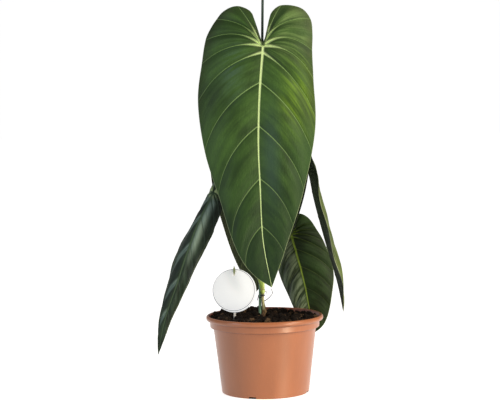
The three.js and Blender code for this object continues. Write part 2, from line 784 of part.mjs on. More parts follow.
// The petiole runs from inside the stem, which is cut out of it with a clearance, to an elbow
// under the blade, and meets the midrib's foot squarely from below.
function petiole(leaf, stemCutter) {
  const { centre, normal } = bladeFrame(leaf, JOINT.inset);
  const joint = centre.addScaledVector(normal, -leaf.thickness - JOINT.ribDepth - GAP);
  const elbow = joint.clone().addScaledVector(normal, -JOINT.elbow);
  const path = [...leaf.petiole, elbow.toArray(), joint.toArray()];
  const [sheath, low, high] = leaf.petioleRadii;
  const radiusAt = (t) => mix(low, high, t) + (sheath - low) * Math.exp(-SHEATH_FADE * t);
  const steps = Math.round(leaf.length / PETIOLE_STEP) + 10;
  const whole = solidOf(bar(path, radiusAt, steps, PETIOLE_SIDES));
  return largestPiece(whole.subtract(stemCutter));
}

// ---------------------------------------------------------------- assembly

function material(color, roughness) {
  return new THREE.MeshStandardMaterial({ color, roughness, metalness: 0 });
}

function piece(name, geometry, finish) {
  const mesh = new THREE.Mesh(geometry, finish);
  mesh.name = name;
  return mesh;
}

function pottedPlant() {
  const group = new THREE.Group();
  const bladeFinish = material(COLOURS.bladeGreen, 0.6);
  const petioleFinish = material(COLOURS.petioleGreen, 0.5);
  const stemCutter = solidOf(stem(GAP));
  const holes = [solidOf(stake(GAP)), stemCutter, solidOf(labelStickHole())];
  const rooted = holes.reduce((soil, hole) => soil.subtract(hole), withChips(soilBody()));
  group.add(piece('pot', pot(), material(COLOURS.terracotta, 0.45)));
  group.add(piece('soil', geometryOf(rooted), material(COLOURS.earth, 0.95)));
  group.add(piece('stake', stake(), material(COLOURS.greenWood, 0.7)));
  group.add(piece('stem', geometryOf(stemWithRoots()), material(COLOURS.stemGreen, 0.55)));
  group.add(piece('tie', tie(), material(COLOURS.black, 0.5)));
  group.add(piece('label_disc', labelDisc(), material(COLOURS.card, 0.4)));
  group.add(piece('label_stick', labelStick(), material(COLOURS.card, 0.4)));
  for (const leaf of LEAVES) {
    const stalk = geometryOf(petiole(leaf, stemCutter));
    group.add(piece(`${leaf.name}_petiole`, stalk, petioleFinish));
    group.add(piece(`${leaf.name}_blade`, blade(leaf), bladeFinish));
  }
  return group;
}

export default pottedPlant();
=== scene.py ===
import math
import random

import bmesh
import bpy
import numpy as np
from bpy.props import FloatProperty, FloatVectorProperty, IntProperty, PointerProperty
from mathutils import Matrix, Vector


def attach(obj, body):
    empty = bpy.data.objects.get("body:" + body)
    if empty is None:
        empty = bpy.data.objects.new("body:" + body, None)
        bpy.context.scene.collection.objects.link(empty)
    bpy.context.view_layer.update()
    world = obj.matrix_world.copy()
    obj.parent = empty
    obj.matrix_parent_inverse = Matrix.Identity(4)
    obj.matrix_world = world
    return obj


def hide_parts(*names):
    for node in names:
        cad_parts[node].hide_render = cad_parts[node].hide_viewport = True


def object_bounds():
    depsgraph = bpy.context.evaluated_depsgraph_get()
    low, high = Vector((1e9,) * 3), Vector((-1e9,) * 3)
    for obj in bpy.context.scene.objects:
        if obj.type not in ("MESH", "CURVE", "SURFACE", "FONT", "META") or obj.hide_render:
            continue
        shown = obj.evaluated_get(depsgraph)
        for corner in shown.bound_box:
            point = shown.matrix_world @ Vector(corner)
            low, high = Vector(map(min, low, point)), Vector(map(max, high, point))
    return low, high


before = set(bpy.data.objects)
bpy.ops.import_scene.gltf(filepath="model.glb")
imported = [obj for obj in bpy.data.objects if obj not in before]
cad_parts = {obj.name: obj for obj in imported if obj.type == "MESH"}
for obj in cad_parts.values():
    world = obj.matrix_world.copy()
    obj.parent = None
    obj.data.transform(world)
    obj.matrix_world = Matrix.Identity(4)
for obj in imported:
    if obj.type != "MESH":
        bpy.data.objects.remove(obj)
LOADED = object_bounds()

bl_info = {
    "name": "Potted Philodendron",
    "version": (1, 0, 0),
    "blender": (4, 5, 0),
    "location": "View3D > Sidebar > Plant",
    "description": "Builds a philodendron with long velvet leaves in a round plastic pot",
    "category": "Add Mesh",
}

MM = 0.001

# ---------------------------------------------------------------- sizes, in mm

POT = {"height": 112, "rim": 85, "collar": 79.5, "neck": 74.5, "foot": 63.3, "wall": 1.6,
       "bead": 7.5, "bead_inset": 2.6, "collar_height": 10, "floor": 4, "hub": 21}
DRAIN = {"holes": 8, "radius": 4, "circle": 44, "notches": 4, "first_notch": -18,
         "notch_width": 11, "notch_height": 2.6}
SOIL = {"level": 106.5, "edge_drop": 4, "roughness": 1.6, "seed": 17,
        "mounds": [(10, -44, 34, 44), (2, 0, 0, 26), (-3, 50, 30, 39)], "mound_edge": 80}
CHIPS = {"count": 16, "nearest": 18, "farthest": 68, "size": [(4, 9), (3, 6), (2.6, 4.2)]}
# Loose things on the soil: how far from the middle they reach, and the seed of their places.
SMALL_CHIPS = {"count": 70, "seed": 5, "reach": 74, "least": 0.02,
               "size": [(2, 6), (1.4, 3.4), (0.8, 2)], "turn": [(-0.5, 0.5), (-0.5, 0.5), (0, 6.3)]}
CRUMBS = {"seed": 11, "reach": 76, "least": 0.001, "smallest": 0.6, "spread": 4.4, "coarse": 1.3}
FIBRES = {"seed": 23, "reach": 70, "least": 0.01, "edge": 75.5, "length": (5, 17),
          "radius": (0.12, 0.34)}
GAP = 0.3
BOX_MARGIN = 0.02  # how far the blades keep inside the solids' box

# The stake's dark span, in mm along it, is where painted shade darkens its upper part.
STAKE = {"foot": (-8.9, 0, 9), "top": (4.3, 0, 600), "foot_radius": 2.4, "top_radius": 2.0,
         "point": 14, "point_radius": 1.0, "joints": (128, 300, 468), "dark": (300.0, 480.0)}
STEM = {"path": [(-0.2, 0.8, 66), (-0.2, 0.6, 96), (-0.3, 0.2, 116), (-2.0, -3.4, 132),
                 (-2.3, -6.4, 150), (-1.9, -7.0, 190), (-0.9, -7.0, 225), (-0.4, -7.0, 252)],
        "heights": [66, 114, 123, 130, 141, 146, 252], "radii": [3.2, 3.3, 2.7, 2.1, 2.1, 3.0, 2.7],
        "waist": 2.1, "bulge": 0.7, "nodes": [147, 166, 186, 213, 240],
        "cream": (117.5, 121.5), "green": (141.0, 144.5)}
AERIAL_ROOTS = [
    (0.6, [(-1.6, -3.2, 131), (4.7, -5, 135), (8.7, -6, 139), (11.9, -6, 143.8), (11.4, -6, 146.5),
           (9.7, -6, 150)]),
    (0.5, [(-0.6, -6, 145.5), (2.6, -7.5, 146), (4, -7.6, 144.5), (3.6, -7.8, 142.6)]),
]
TIE = {"height": 140.5, "radius": 0.55, "clearance": 0.45, "tail": 5, "droop": 9}
LABEL = {"centre": (-43, -14, 149), "radius": 31.5, "thickness": 0.8, "lean": 14,
         "slot": (4.2, 5.6), "slot_rise": 24, "stick": (3.2, 1.2), "offset": 1.3, "bend": 5,
         "top": 36, "foot": -86, "point": 5}

VEIN_STARTS = [0.008, 0.008, 0.008, 0.008, 0.008, 0.035, 0.157, 0.333, 0.547, 0.74, 1]
VEINS = len(VEIN_STARTS) - 1
VEIN_REACH = 0.56
VEIN_BEND = 20
BLADE_THICKNESS = 0.9  # of the solids' blades
RIB_DEPTH = 1.6
# The rows beside the midrib and along the margin: their width and largest share of a vein.
FLANK = (3.4, 0.35)
HEM = (1.6, 0.15)
# Where a petiole meets its midrib, its straight end and how fast its sheath narrows.
JOINT = {"place": 3.0, "elbow": 7, "fade": 28}

# How finely round things are divided, round about and along.
SIDES = {"pot": 168, "drain": 28, "soil": 300, "fibre": 5, "stake": 26, "stem": 30, "root": 10,
         "tie": 14, "label": 144, "stick": 16, "petiole": 24, "floor": 96}
STEPS = {"soil": 88, "stake": 190, "stem": 260, "root": 40, "tie": 200, "petiole": 260}

# Margins from the sinus round the lobe to the tip: vein, distance from the midrib, distance
# from the petiole towards the tip.
LARGE_LEFT = [
    (0, 2.5, 1), (0.25, 11, -14), (0.5, 13.5, -30), (0.75, 20.5, -46), (1, 39, -53),
    (1.5, 58, -46.5), (2, 68.5, -34), (2.5, 77, -19), (3, 82.5, -3), (4, 85.5, 33),
    (5, 87.5, 84), (6, 76.5, 150), (7, 60, 211), (8, 43.5, 273), (9, 30, 312), (9.5, 17, 333),
    (10, 0, 350),
]
LARGE_RIGHT = [
    (0, 2.5, 0.5), (0.25, 5.2, -13), (0.5, 5.6, -31), (0.75, 9.4, -47), (1, 22, -57.5),
    (1.5, 50, -56), (2, 65, -41), (2.5, 69, -20), (3, 70, 3), (4, 75, 43),
    (5, 81, 103), (6, 76, 155), (7, 61.5, 210), (8, 44, 262), (9, 26.5, 304), (9.5, 13, 328),
    (10, 0, 350),
]
# Margin of the right half of the leaf that hangs at the back right.
BACK_RIGHT = [
    (0, 1, 0), (0.25, 2.4, -8), (0.5, 5.2, -16), (0.75, 11.5, -24), (1, 21, -27.5),
    (1.5, 31, -20), (2, 36.5, -9), (3, 40.3, 6.3), (4, 44.2, 25), (5, 46.8, 47),
    (6, 45.8, 73), (7, 39.8, 96), (8, 32, 120), (9, 22, 141), (9.5, 13.5, 150), (10, 0, 158),
]
# Margin of a younger leaf, as shares of its half-width and its length.
YOUNG_HALF = [
    (0, 0.02, 0), (0.25, 0.05, -0.05), (0.5, 0.11, -0.10), (0.75, 0.24, -0.14),
    (1, 0.44, -0.155), (1.5, 0.64, -0.12), (2, 0.76, -0.07), (3, 0.90, 0.04), (4, 0.98, 0.16),
    (5, 1, 0.30), (6, 0.93, 0.46), (7, 0.78, 0.61), (8, 0.57, 0.76), (9, 0.33, 0.89),
    (9.5, 0.17, 0.95), (10, 0, 1),
]


def half_leaf(margin, width, rise, bow, quilt, bend=30, scallop=0.0):
    return {"margin": np.array(margin, float), "width": width, "rise": rise, "bow": bow,
            "bend": bend, "quilt": quilt, "scallop": scallop}


def young_half(width, length, rise, bow, quilt, scallop=0.0):
    margin = [(vein, x * width, l * length) for vein, x, l in YOUNG_HALF]
    return half_leaf(margin, width, rise, bow, quilt, scallop=scallop)


LEAVES = [
    {"name": "leaf_1", "length": 350, "columns": 16, "rows": 34,
     "midrib": [(8, -24, 569), (3.2, -32, 501), (-2.8, -39, 432), (-5.6, -45, 362),
                (-3.8, -50, 293), (-1, -55, 224), (10.2, -60, 158)],
     "turn": [0] * 7, "wave": 1.6,
     "halves": [half_leaf(LARGE_LEFT, 85, 0.26, 0.48, 3),
                half_leaf(LARGE_RIGHT, 82, 0.24, 0.42, 3, bend=45)],
     "petiole": [(-0.5, -7, 246), (1, -9, 300), (0.6, -10, 380), (1, -9.5, 450), (2, -11, 480),
                 (2.8, -15, 494)],
     "radii": (2.6, 2.6, 2.3)},
    {"name": "leaf_2", "length": 280, "columns": 10, "rows": 22,
     "midrib": [(-4, 38, 470), (-5.5, 50, 420), (-6, 57, 365), (-7, 60, 309), (-8, 60, 253),
                (-10.5, 58, 195), (-12, 53, 138)],
     "turn": [180] * 7, "wave": 1.6,
     "halves": [young_half(77, 280, 0.2, 0.4, 2.4),
                young_half(71, 280, 0.2, 0.4, 2.4)],
     "petiole": [(-1.2, -7, 216), (3.5, -5.5, 236), (7, 4, 268), (3, 13, 320), (-2, 17, 375),
                 (-4.5, 25, 404), (-5.3, 33, 415)],
     "radii": (3.4, 2.5, 2.1)},
    {"name": "leaf_3", "length": 250, "columns": 12, "rows": 22,
     "midrib": [(-53, -10, 338), (-70, -20, 293), (-92.8, -24, 248), (-111, -26, 201),
                (-127, -26, 155), (-143.4, -24, 108.5), (-154.4, -20, 58)],
     "turn": [-34, -26, -22, -6, -3, -3, -5], "wave": 1.0,
     "halves": [young_half(17, 250, 0.3, 1.6, 2.5, 0.12),
                young_half(16.2, 250, 0.3, 1.6, 1.5)],
     "petiole": [(-2.3, -6.4, 148), (-6, -10.5, 161), (-20, -10, 205), (-40, 0, 252),
                 (-54, 3, 282), (-62, -3, 292)],
     "radii": (3.3, 2.3, 1.8)},
    {"name": "leaf_4", "length": 158, "columns": 12, "rows": 22,
     "midrib": [(34.5, 80, 253), (42.6, 84, 223), (50.6, 86, 192.5), (58.6, 88, 162),
                (65.2, 89, 131), (69.6, 88, 100), (71, 85, 68)],
     "turn": [-20, -20, -20, -18, -18, -16, -14], "wave": 1.2,
     "halves": [young_half(40.5, 158, 0.2, 0.5, 2.2),
                half_leaf(BACK_RIGHT, 50, 0.2, 0.42, 1.8)],
     "petiole": [(-2.1, -6.6, 167), (4, 0, 168), (10.5, 16, 169), (17, 36, 171), (23, 54, 177),
                 (26.5, 67, 194), (31.5, 76, 220), (38, 83, 242), (43.2, 93, 238)],
     "radii": (3.2, 2.2, 1.7)},
    {"name": "leaf_5", "length": 217, "columns": 12, "rows": 22,
     "midrib": [(57, 6, 360), (66.8, 2, 320.5), (74.2, 1, 280), (84.2, 0, 239), (95.5, 0, 197),
                (107, 0, 155.5), (114.8, 0, 114)],
     "turn": [97, 94.5, 92, 89, 86.5, 84, 81.5], "wave": 1.4,
     "halves": [young_half(33, 217, 0.6, 0.41, 1.6),
                young_half(31, 217, 0.6, 0.2, 1.6)],
     "petiole": [(-1.9, -7, 187), (5.5, -7.5, 206), (22, -6, 252), (38, -2, 292), (49, 1, 313)],
     "radii": (3.3, 2.3, 1.8)},
]


PALETTE = {
    "dust": "#8a5a42", "stain": "#8d4c40", "soil_mark": "#3a281f", "peat": "#4e3a29",
    "dry_peat": "#7a5f45", "brown_speck": "#5b4330", "bark_furrow": "#2a1c13",
    "dark_fibre": "#3b2a1d", "pale_fibre": "#8d7355", "soiled_fibre": "#2b1f16",
    "worn_stain": "#7c9c7d", "dark_stain": "#262a28", "bare_wood": "#86907a",
    "cane_joint": "#1d231e", "lit_stem": "#d9ec92", "dry_cream": "#d9d6a0",
    "dry_brown": "#8f7f4a", "sheath_shadow": "#4a2f1e", "leaf_scar": "#4a3b20",
    "under_tie": "#241a12", "cork": "#6a5335", "pale_root": "#5b4836", "worn_wire": "#3b3a37",
    "card_shade": "#cfd5d9", "low_stick": "#ddd6cc", "clean_stick": "#f0efe6",
    "muddy_stick": "#8c7a66", "lobe": "#7c9657", "low_right": "#2b4a1b",
    "olive_shoulder": "#6f9127", "blue_strip": "#3b5346", "blue_patch": "#4a6357",
    "brown_edge": "#2d3219", "dark_tip": "#182a1a", "velvet": "#b9c8b4",
    "pale_line": "#8aa194", "silver_band": "#93aa9c", "pale_joint": "#b9cc8c",
    "grey_streak": "#93a383", "lit_underside": "#4f5d45", "pale_rib": "#c9dc86",
    "petiole_fleck": "#5c6a2f", "petiole_foot": "#b8a070",
}


def colour(code):
    """Linear colour of a hex code or of a name in the palette. A linear colour stays as it is."""
    if not isinstance(code, str):
        return code
    code = PALETTE.get(code, code)
    channels = [int(code[i:i + 2], 16) / 255 for i in (1, 3, 5)]
    return tuple(c / 12.92 if c <= 0.04045 else ((c + 0.055) / 1.055) ** 2.4 for c in channels)


# ---------------------------------------------------------------- settings

def length_setting(name, description, default, low, high):
    return FloatProperty(name=name, description=description, default=default, min=low, max=high,
                         subtype="DISTANCE", unit="LENGTH", precision=5)


def colour_setting(name, description, code):
    return FloatVectorProperty(name=name, description=description, default=colour(code),
                               min=0, max=1, size=3, subtype="COLOR")


def share_setting(name, description, default):
    return FloatProperty(name=name, description=description, default=default, min=0, max=1,
                         subtype="FACTOR")


def power_setting(name, description, default):
    return FloatProperty(name=name, description=description, default=default, min=0, max=500,
                         unit="POWER")


class LeafSettings(bpy.types.PropertyGroup):
    thickness: length_setting("Thickness", "Thickness of a blade between its veins",
                              0.0006, 0.0003, 0.0009)
    rib_rise: length_setting("Midrib rise", "Height of the midrib on the upper side",
                             0.0005, 0, 0.001)
    groove: length_setting("Vein groove", "Depth of the lateral veins on the upper side",
                           0.0005, 0, 0.001)
    gloss: share_setting("Gloss", "Strength of the reflection on the upper side", 0.22)
    sheen: share_setting("Velvet", "Strength of the velvet sheen", 0.04)
    petiole: colour_setting("Petiole", "Colour of the leaf stalks", "#87a23f")


class PotSettings(bpy.types.PropertyGroup):
    colour: colour_setting("Colour", "Colour of the plastic", "#b97045")
    roughness: share_setting("Roughness", "Roughness of the plastic", 0.27)
    rounding: length_setting("Rounding", "Radius of the moulded edges", 0.0006, 0.0001, 0.0008)


class SoilSettings(bpy.types.PropertyGroup):
    colour: colour_setting("Colour", "Colour of the potting soil", "#241b14")
    chip: colour_setting("Bark", "Colour of the bark chips", "#5d4838")
    crumbs: IntProperty(name="Crumbs", description="Number of loose crumbs", default=1700,
                        min=0, max=6000)
    fibres: IntProperty(name="Fibres", description="Number of loose fibres", default=150,
                        min=0, max=600)


class StemSettings(bpy.types.PropertyGroup):
    stake: colour_setting("Stake", "Colour of the stake", "#98c6a6")
    stem: colour_setting("Stem", "Colour of the green stem", "#9dbb45")
    sheath: colour_setting("Sheath", "Colour of the dry sheath at the stem's foot", "#a8875c")
    root: colour_setting("Aerial roots", "Colour of the aerial roots", "#3d3227")
    tie: colour_setting("Tie", "Colour of the wire tie", "#0d0c0b")


class LabelSettings(bpy.types.PropertyGroup):
    card: colour_setting("Label", "Colour of the label", "#f1f6fc")
    ring: colour_setting("Ring", "Colour of the printed ring", "#2c2c30")
    ring_radius: length_setting("Ring radius", "Radius of the printed ring", 0.0300, 0.01, 0.031)
    ring_width: length_setting("Ring width", "Width of the printed ring", 0.0008, 0.0002, 0.002)
    tip: colour_setting("Stick tip", "Colour of the stick above the label", "#8f9a6f")


class StageSettings(bpy.types.PropertyGroup):
    floor: colour_setting("Floor", "Colour of the floor", "#fafafa")
    ambient: FloatProperty(name="Ambient", description="Strength of the light from all around",
                           default=0.36, min=0, max=4)
    key: power_setting("Key light", "Power of the main light at the right", 50)
    low: power_setting("Low light", "Power of the light below the floor at the right", 27)
    side: power_setting("Side light", "Power of the cool light at the left", 14)


# ---------------------------------------------------------------- shader expressions

def scaled(tint, factor, lift=0.0):
    """A darker or lighter colour."""
    return tuple(min(1, c * factor + lift) for c in tint)


class Socket:
    """An output socket that can be used in Python arithmetic."""

    def __init__(self, shader, socket):
        self.shader = shader
        self.socket = socket

    def _maths(self, operation, *values):
        return self.shader.node("ShaderNodeMath", {"operation": operation}, dict(enumerate(values)))

    def __add__(self, other):
        return self._maths("ADD", self, other)

    def __sub__(self, other):
        return self._maths("SUBTRACT", self, other)

    def __rsub__(self, other):
        return self._maths("SUBTRACT", other, self)

    def __mul__(self, other):
        return self._maths("MULTIPLY", self, other)

    def __truediv__(self, other):
        return self._maths("DIVIDE", self, other)

    def __pow__(self, other):
        return self._maths("POWER", self, other)

    def __abs__(self):
        return self._maths("ABSOLUTE", self)

    __radd__ = __add__
    __rmul__ = __mul__

    def sine(self):
        return self._maths("SINE", self)


class Shader:
    """A material whose Principled BSDF is fed by expressions."""

    def __init__(self, name, **constants):
        self.material = bpy.data.materials.new(name)
        self.material.use_nodes = True
        self.tree = self.material.node_tree
        self.surface = self.tree.nodes["Principled BSDF"]
        for socket, value in constants.items():
            self.feed(self.surface.inputs[socket.replace("_", " ")], value)

    def node(self, kind, settings=None, values=None, output=0):
        """A node of any kind: its settings are set first, then its sockets are set or linked."""
        node = self.tree.nodes.new(kind)
        for name, value in (settings or {}).items():
            setattr(node, name, value)
        for name, value in (values or {}).items():
            self.feed(node.inputs[name], value)
        return Socket(self, node.outputs[output])

    def feed(self, socket, value):
        if isinstance(value, Socket):
            self.tree.links.new(value.socket, socket)
        elif socket.type == "RGBA":
            socket.default_value = (*value, 1)
        else:
            socket.default_value = value

    def fields(self, *names):
        """Values kept at the mesh's points."""
        return [self.node("ShaderNodeAttribute", {"attribute_name": name}, output="Fac")
                for name in names]

    def vector_field(self, name):
        return self.node("ShaderNodeAttribute", {"attribute_name": name}, output="Vector")

    def place(self):
        """The point's place in the object, in millimetres."""
        at = self.node("ShaderNodeTexCoord", output="Object")
        return self.node("ShaderNodeVectorMath", {"operation": "SCALE"}, {0: at, "Scale": 1 / MM})

    def combine(self, x, y, z=0.0):
        return self.node("ShaderNodeCombineXYZ", values={0: x, 1: y, 2: z})

    def axes(self, vector):
        parts = self.node("ShaderNodeSeparateXYZ", values={0: vector}).socket.node.outputs
        return [Socket(self, part) for part in parts]

    def mix(self, a, b, factor):
        return self.node("ShaderNodeMix", {"data_type": "RGBA"}, {0: factor, 6: a, 7: b}, output=2)

    def paint(self, tint, *coats):
        """Lays coats over a tint in turn, each a colour and where it shows."""
        for coat, mask in coats:
            tint = self.mix(tint, colour(coat), mask)
        return tint

    def shaded(self, tint, share, mask):
        """A colour that falls to a share of itself where the mask is 0."""
        return self.mix(scaled(tint, share), tint, mask)

    def blend(self, a, b, factor):
        return self.node("ShaderNodeMix", {"data_type": "FLOAT"}, {0: factor, 2: a, 3: b})

    def smooth(self, value, low, high, start=0.0, end=1.0):
        """From start to end while the value goes from low to high."""
        values = {0: value, 1: low, 2: high, 3: start, 4: end}
        return self.node("ShaderNodeMapRange", {"interpolation_type": "SMOOTHSTEP"}, values)

    def noise(self, vector, scale=1.0, detail=2.0, roughness=0.5):
        values = {"Vector": vector, "Scale": scale, "Detail": detail, "Roughness": roughness}
        return self.node("ShaderNodeTexNoise", values=values)

    def cells(self, vector, scale, feature="F1", output=0):
        values = {"Vector": vector, "Scale": scale}
        return self.node("ShaderNodeTexVoronoi", {"feature": feature}, values, output)

    def near(self, value, width):
        """1 where the value is 0, falling to 0 at the width."""
        return 1 - self.smooth(value, 0.0, width)

    def band(self, value, middle, reach):
        """1 where the value is at the middle, falling to 0 at the reach on both sides."""
        return self.near(abs(value - middle), reach)

    def finish(self, base, roughness, height=None):
        """Feeds the surface. The height is in millimetres."""
        self.feed(self.surface.inputs["Base Color"], base)
        self.feed(self.surface.inputs["Roughness"], roughness)
        if height is not None:
            bump = self.node("ShaderNodeBump", values={"Height": height, "Distance": MM})
            self.feed(self.surface.inputs["Normal"], bump)
        return self.material


# ---------------------------------------------------------------- shapes

class Shape:
    """Points in millimetres, faces, and values kept at the points."""

    def __init__(self, points, faces, fields=None, finish=None):
        self.points = np.asarray(points, float)
        self.faces = faces
        self.fields = fields or {}
        self.finish = finish or [0] * len(faces)

    @staticmethod
    def join(shapes):
        faces, finish, count = [], [], 0
        for shape in shapes:
            faces += [tuple(i + count for i in face) for face in shape.faces]
            finish += shape.finish
            count += len(shape.points)
        names = shapes[0].fields
        fields = {name: np.concatenate([s.fields[name] for s in shapes]) for name in names}
        return Shape(np.concatenate([s.points for s in shapes]), faces, fields, finish)


def mesh_of(name, shape, materials, smooth=True, sharp=None):
    mesh = bpy.data.meshes.new(name)
    mesh.from_pydata((shape.points * MM).tolist(), [], shape.faces)
    for title, values in shape.fields.items():
        flat = values.ndim == 1
        layer = mesh.attributes.new(title, "FLOAT" if flat else "FLOAT_VECTOR", "POINT")
        layer.data.foreach_set("value" if flat else "vector", values.astype(np.float32).ravel())
    for material in materials:
        mesh.materials.append(material)
    mesh.polygons.foreach_set("material_index", shape.finish)
    if smooth:
        mesh.shade_smooth()
    if sharp:
        mesh.set_sharp_from_angle(angle=math.radians(sharp))
    return mesh


def piece(name, shape, materials, nodes=(), sharp=None, cutter=None):
    """A shown piece that rides the body, in place of the solids it stands for."""
    obj = bpy.data.objects.new(name, mesh_of(name, shape, materials, sharp=sharp))
    bpy.context.scene.collection.objects.link(obj)
    if cutter is not None:
        cut(obj, cutter, sharp)
    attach(obj, "root")
    if nodes:
        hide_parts(*nodes)


def cut(obj, shape, sharp):
    """Cuts a shape out of the object's mesh."""
    cutter = bpy.data.objects.new("cutter", mesh_of("cutter", shape, []))
    bpy.context.scene.collection.objects.link(cutter)
    modifier = obj.modifiers.new("cut", "BOOLEAN")
    modifier.operation = "DIFFERENCE"
    modifier.solver = "EXACT"
    modifier.object = cutter
    graph = bpy.context.evaluated_depsgraph_get()
    mesh = bpy.data.meshes.new_from_object(obj.evaluated_get(graph))
    obj.modifiers.clear()
    obj.data = mesh
    if sharp:
        mesh.set_sharp_from_angle(angle=math.radians(sharp))
    bpy.data.objects.remove(cutter)


def mixed(a, b, t):
    return a + (b - a) * t


def ramp(low, high, at):
    t = np.clip((at - low) / (high - low), 0, 1)
    return t * t * (3 - 2 * t)


def through(knots, values, at):
    """The values at some places of a smooth curve that passes through values at rising knots."""
    knots = np.asarray(knots, float)
    values = np.asarray(values, float)
    flat = values.ndim == 1
    values = values.reshape(len(knots), -1)
    slopes = np.empty_like(values)
    slopes[1:-1] = (values[2:] - values[:-2]) / (knots[2:] - knots[:-2])[:, None]
    slopes[0] = (values[1] - values[0]) / (knots[1] - knots[0])
    slopes[-1] = (values[-1] - values[-2]) / (knots[-1] - knots[-2])
    at = np.asarray(at, float)
    i = np.searchsorted(knots[1:-1], at)
    span = (knots[i + 1] - knots[i])[..., None]
    t = (at - knots[i])[..., None] / span
    rise = values[i + 1] - values[i]
    start = slopes[i] * span
    end = slopes[i + 1] * span
    result = values[i] + t * (start + t * (3 * rise - 2 * start - end
                                           + t * (start + end - 2 * rise)))
    return result[..., 0] if flat else result


def curve_through(points, count):
    """Evenly spaced points of the centripetal curve through some points."""
    p = np.array(points, float)
    p = np.vstack([2 * p[0] - p[1], p, 2 * p[-1] - p[-2]])
    steps = np.linspace(0, 1, 40, endpoint=False)[:, None]
    dense = []
    for a, b, c, d in zip(p, p[1:], p[2:], p[3:]):
        s, m, e = (math.sqrt(np.linalg.norm(v - u)) for u, v in ((a, b), (b, c), (c, d)))
        start = m * ((b - a) / s - (c - a) / (s + m) + (c - b) / m)
        end = m * ((c - b) / m - (d - b) / (m + e) + (d - c) / e)
        dense.append(b + steps * (start + steps * (-3 * b + 3 * c - 2 * start - end
                                                   + steps * (2 * b - 2 * c + start + end))))
    dense = np.vstack([*dense, p[-2:-1]])
    run = np.concatenate([[0], np.cumsum(np.linalg.norm(np.diff(dense, axis=0), axis=1))])
    where = np.linspace(0, run[-1], count + 1)
    return np.stack([np.interp(where, run, dense[:, k]) for k in range(3)], 1)


def around(count):
    """Evenly spaced angles of a full turn."""
    return np.linspace(0, 2 * math.pi, count, endpoint=False)


def ring_faces(rings, sides):
    """Quads between rings of points, closed by fans from the two points that follow them."""
    ends = [(k, (k + 1) % sides) for k in range(sides)]
    faces = [(i * sides + k, i * sides + n, (i + 1) * sides + n, (i + 1) * sides + k)
             for i in range(rings - 1) for k, n in ends]
    foot, head, last = rings * sides, rings * sides + 1, (rings - 1) * sides
    faces += [(foot, n, k) for k, n in ends]
    faces += [(head, last + k, last + n) for k, n in ends]
    return faces


def tube(path, radii, sides, relief=None):
    """A closed round bar along a path. relief(along, angle) is added to its radius.

    Its fields are the distance along it in millimetres and the turn round it, 0 to 1."""
    path = np.asarray(path, float)
    tangents = np.gradient(path, axis=0)
    tangents /= np.linalg.norm(tangents, axis=1)[:, None]
    start = np.cross(tangents[0], (0.31, -0.95, 0.05))
    normals = [start / np.linalg.norm(start)]
    for tangent in tangents[1:]:
        normal = normals[-1] - tangent * np.dot(normals[-1], tangent)
        normals.append(normal / np.linalg.norm(normal))
    normals = np.array(normals)
    binormals = np.cross(tangents, normals)
    angle = around(sides)
    run = np.concatenate([[0], np.cumsum(np.linalg.norm(np.diff(path, axis=0), axis=1))])
    radius = np.broadcast_to(np.asarray(radii, float), len(path))[:, None] + np.zeros(sides)
    if relief is not None:
        radius = radius + relief(run[:, None], angle[None, :])
    wheel = (np.cos(angle)[None, :, None] * normals[:, None]
             + np.sin(angle)[None, :, None] * binormals[:, None])
    rings = path[:, None] + wheel * radius[..., None]
    points = np.vstack([rings.reshape(-1, 3), path[:1], path[-1:]])
    along = np.concatenate([np.repeat(run, sides), [0, run[-1]]])
    turn = np.concatenate([np.tile(angle / (2 * math.pi), len(path)), [0, 0]])
    return Shape(points, ring_faces(len(path), sides), {"along": along, "turn": turn})


def rounded(profile, radius, steps=3):
    """A profile with its corners rounded."""
    points = [np.array(p, float) for p in profile]
    result = [points[0]]
    for before, corner, after in zip(points, points[1:], points[2:]):
        back, on = before - corner, after - corner
        reach = min(radius, 0.45 * np.linalg.norm(back), 0.45 * np.linalg.norm(on))
        start = corner + back / np.linalg.norm(back) * reach
        end = corner + on / np.linalg.norm(on) * reach
        for t in np.linspace(0, 1, steps + 1):
            result.append((1 - t) ** 2 * start + 2 * t * (1 - t) * corner + t * t * end)
    result.append(points[-1])
    return np.array(result)


def turned(profile, sides):
    """A profile of radius and height turned about the upright axis, from axis to axis."""
    angles = around(sides)
    rings = profile[1:-1]
    points = np.empty((len(rings), sides, 3))
    points[..., 0] = rings[:, :1] * np.cos(angles)
    points[..., 1] = rings[:, :1] * np.sin(angles)
    points[..., 2] = rings[:, 1:]
    points = np.vstack([points.reshape(-1, 3), [(0, 0, profile[0][1]), (0, 0, profile[-1][1])]])
    return Shape(points, ring_faces(len(rings), sides))


def block(size, centre):
    signs = [(x, y, z) for z in (-1, 1) for x, y in ((-1, -1), (1, -1), (1, 1), (-1, 1))]
    faces = [(3, 2, 1, 0), (4, 5, 6, 7), (0, 1, 5, 4), (1, 2, 6, 5), (2, 3, 7, 6), (3, 0, 4, 7)]
    return Shape(np.array(signs) * (np.array(size) / 2) + np.array(centre), faces)


def turn_about_z(angle):
    c, s = math.cos(angle), math.sin(angle)
    return np.array([(c, -s, 0), (s, c, 0), (0, 0, 1)])


# ---------------------------------------------------------------- pot

COLLAR_FOOT = POT["height"] - POT["bead"] - POT["collar_height"]
BEAD_FOOT = POT["height"] - POT["bead"]


def inside_profile(back):
    """The inside of the pot, kept back from the wall by a clearance."""
    wall = POT["wall"] + back
    floor = POT["floor"] + wall
    return [
        (0, wall), (POT["hub"] + 0.3 - back, wall), (POT["hub"] + 4.3 - back, floor),
        (POT["foot"] - wall + 0.4, floor), (POT["neck"] - wall - 0.3, COLLAR_FOOT - 0.6 + back),
        (POT["collar"] - wall - 0.6, COLLAR_FOOT + 1.4 + back), (POT["collar"] - wall, BEAD_FOOT),
    ]


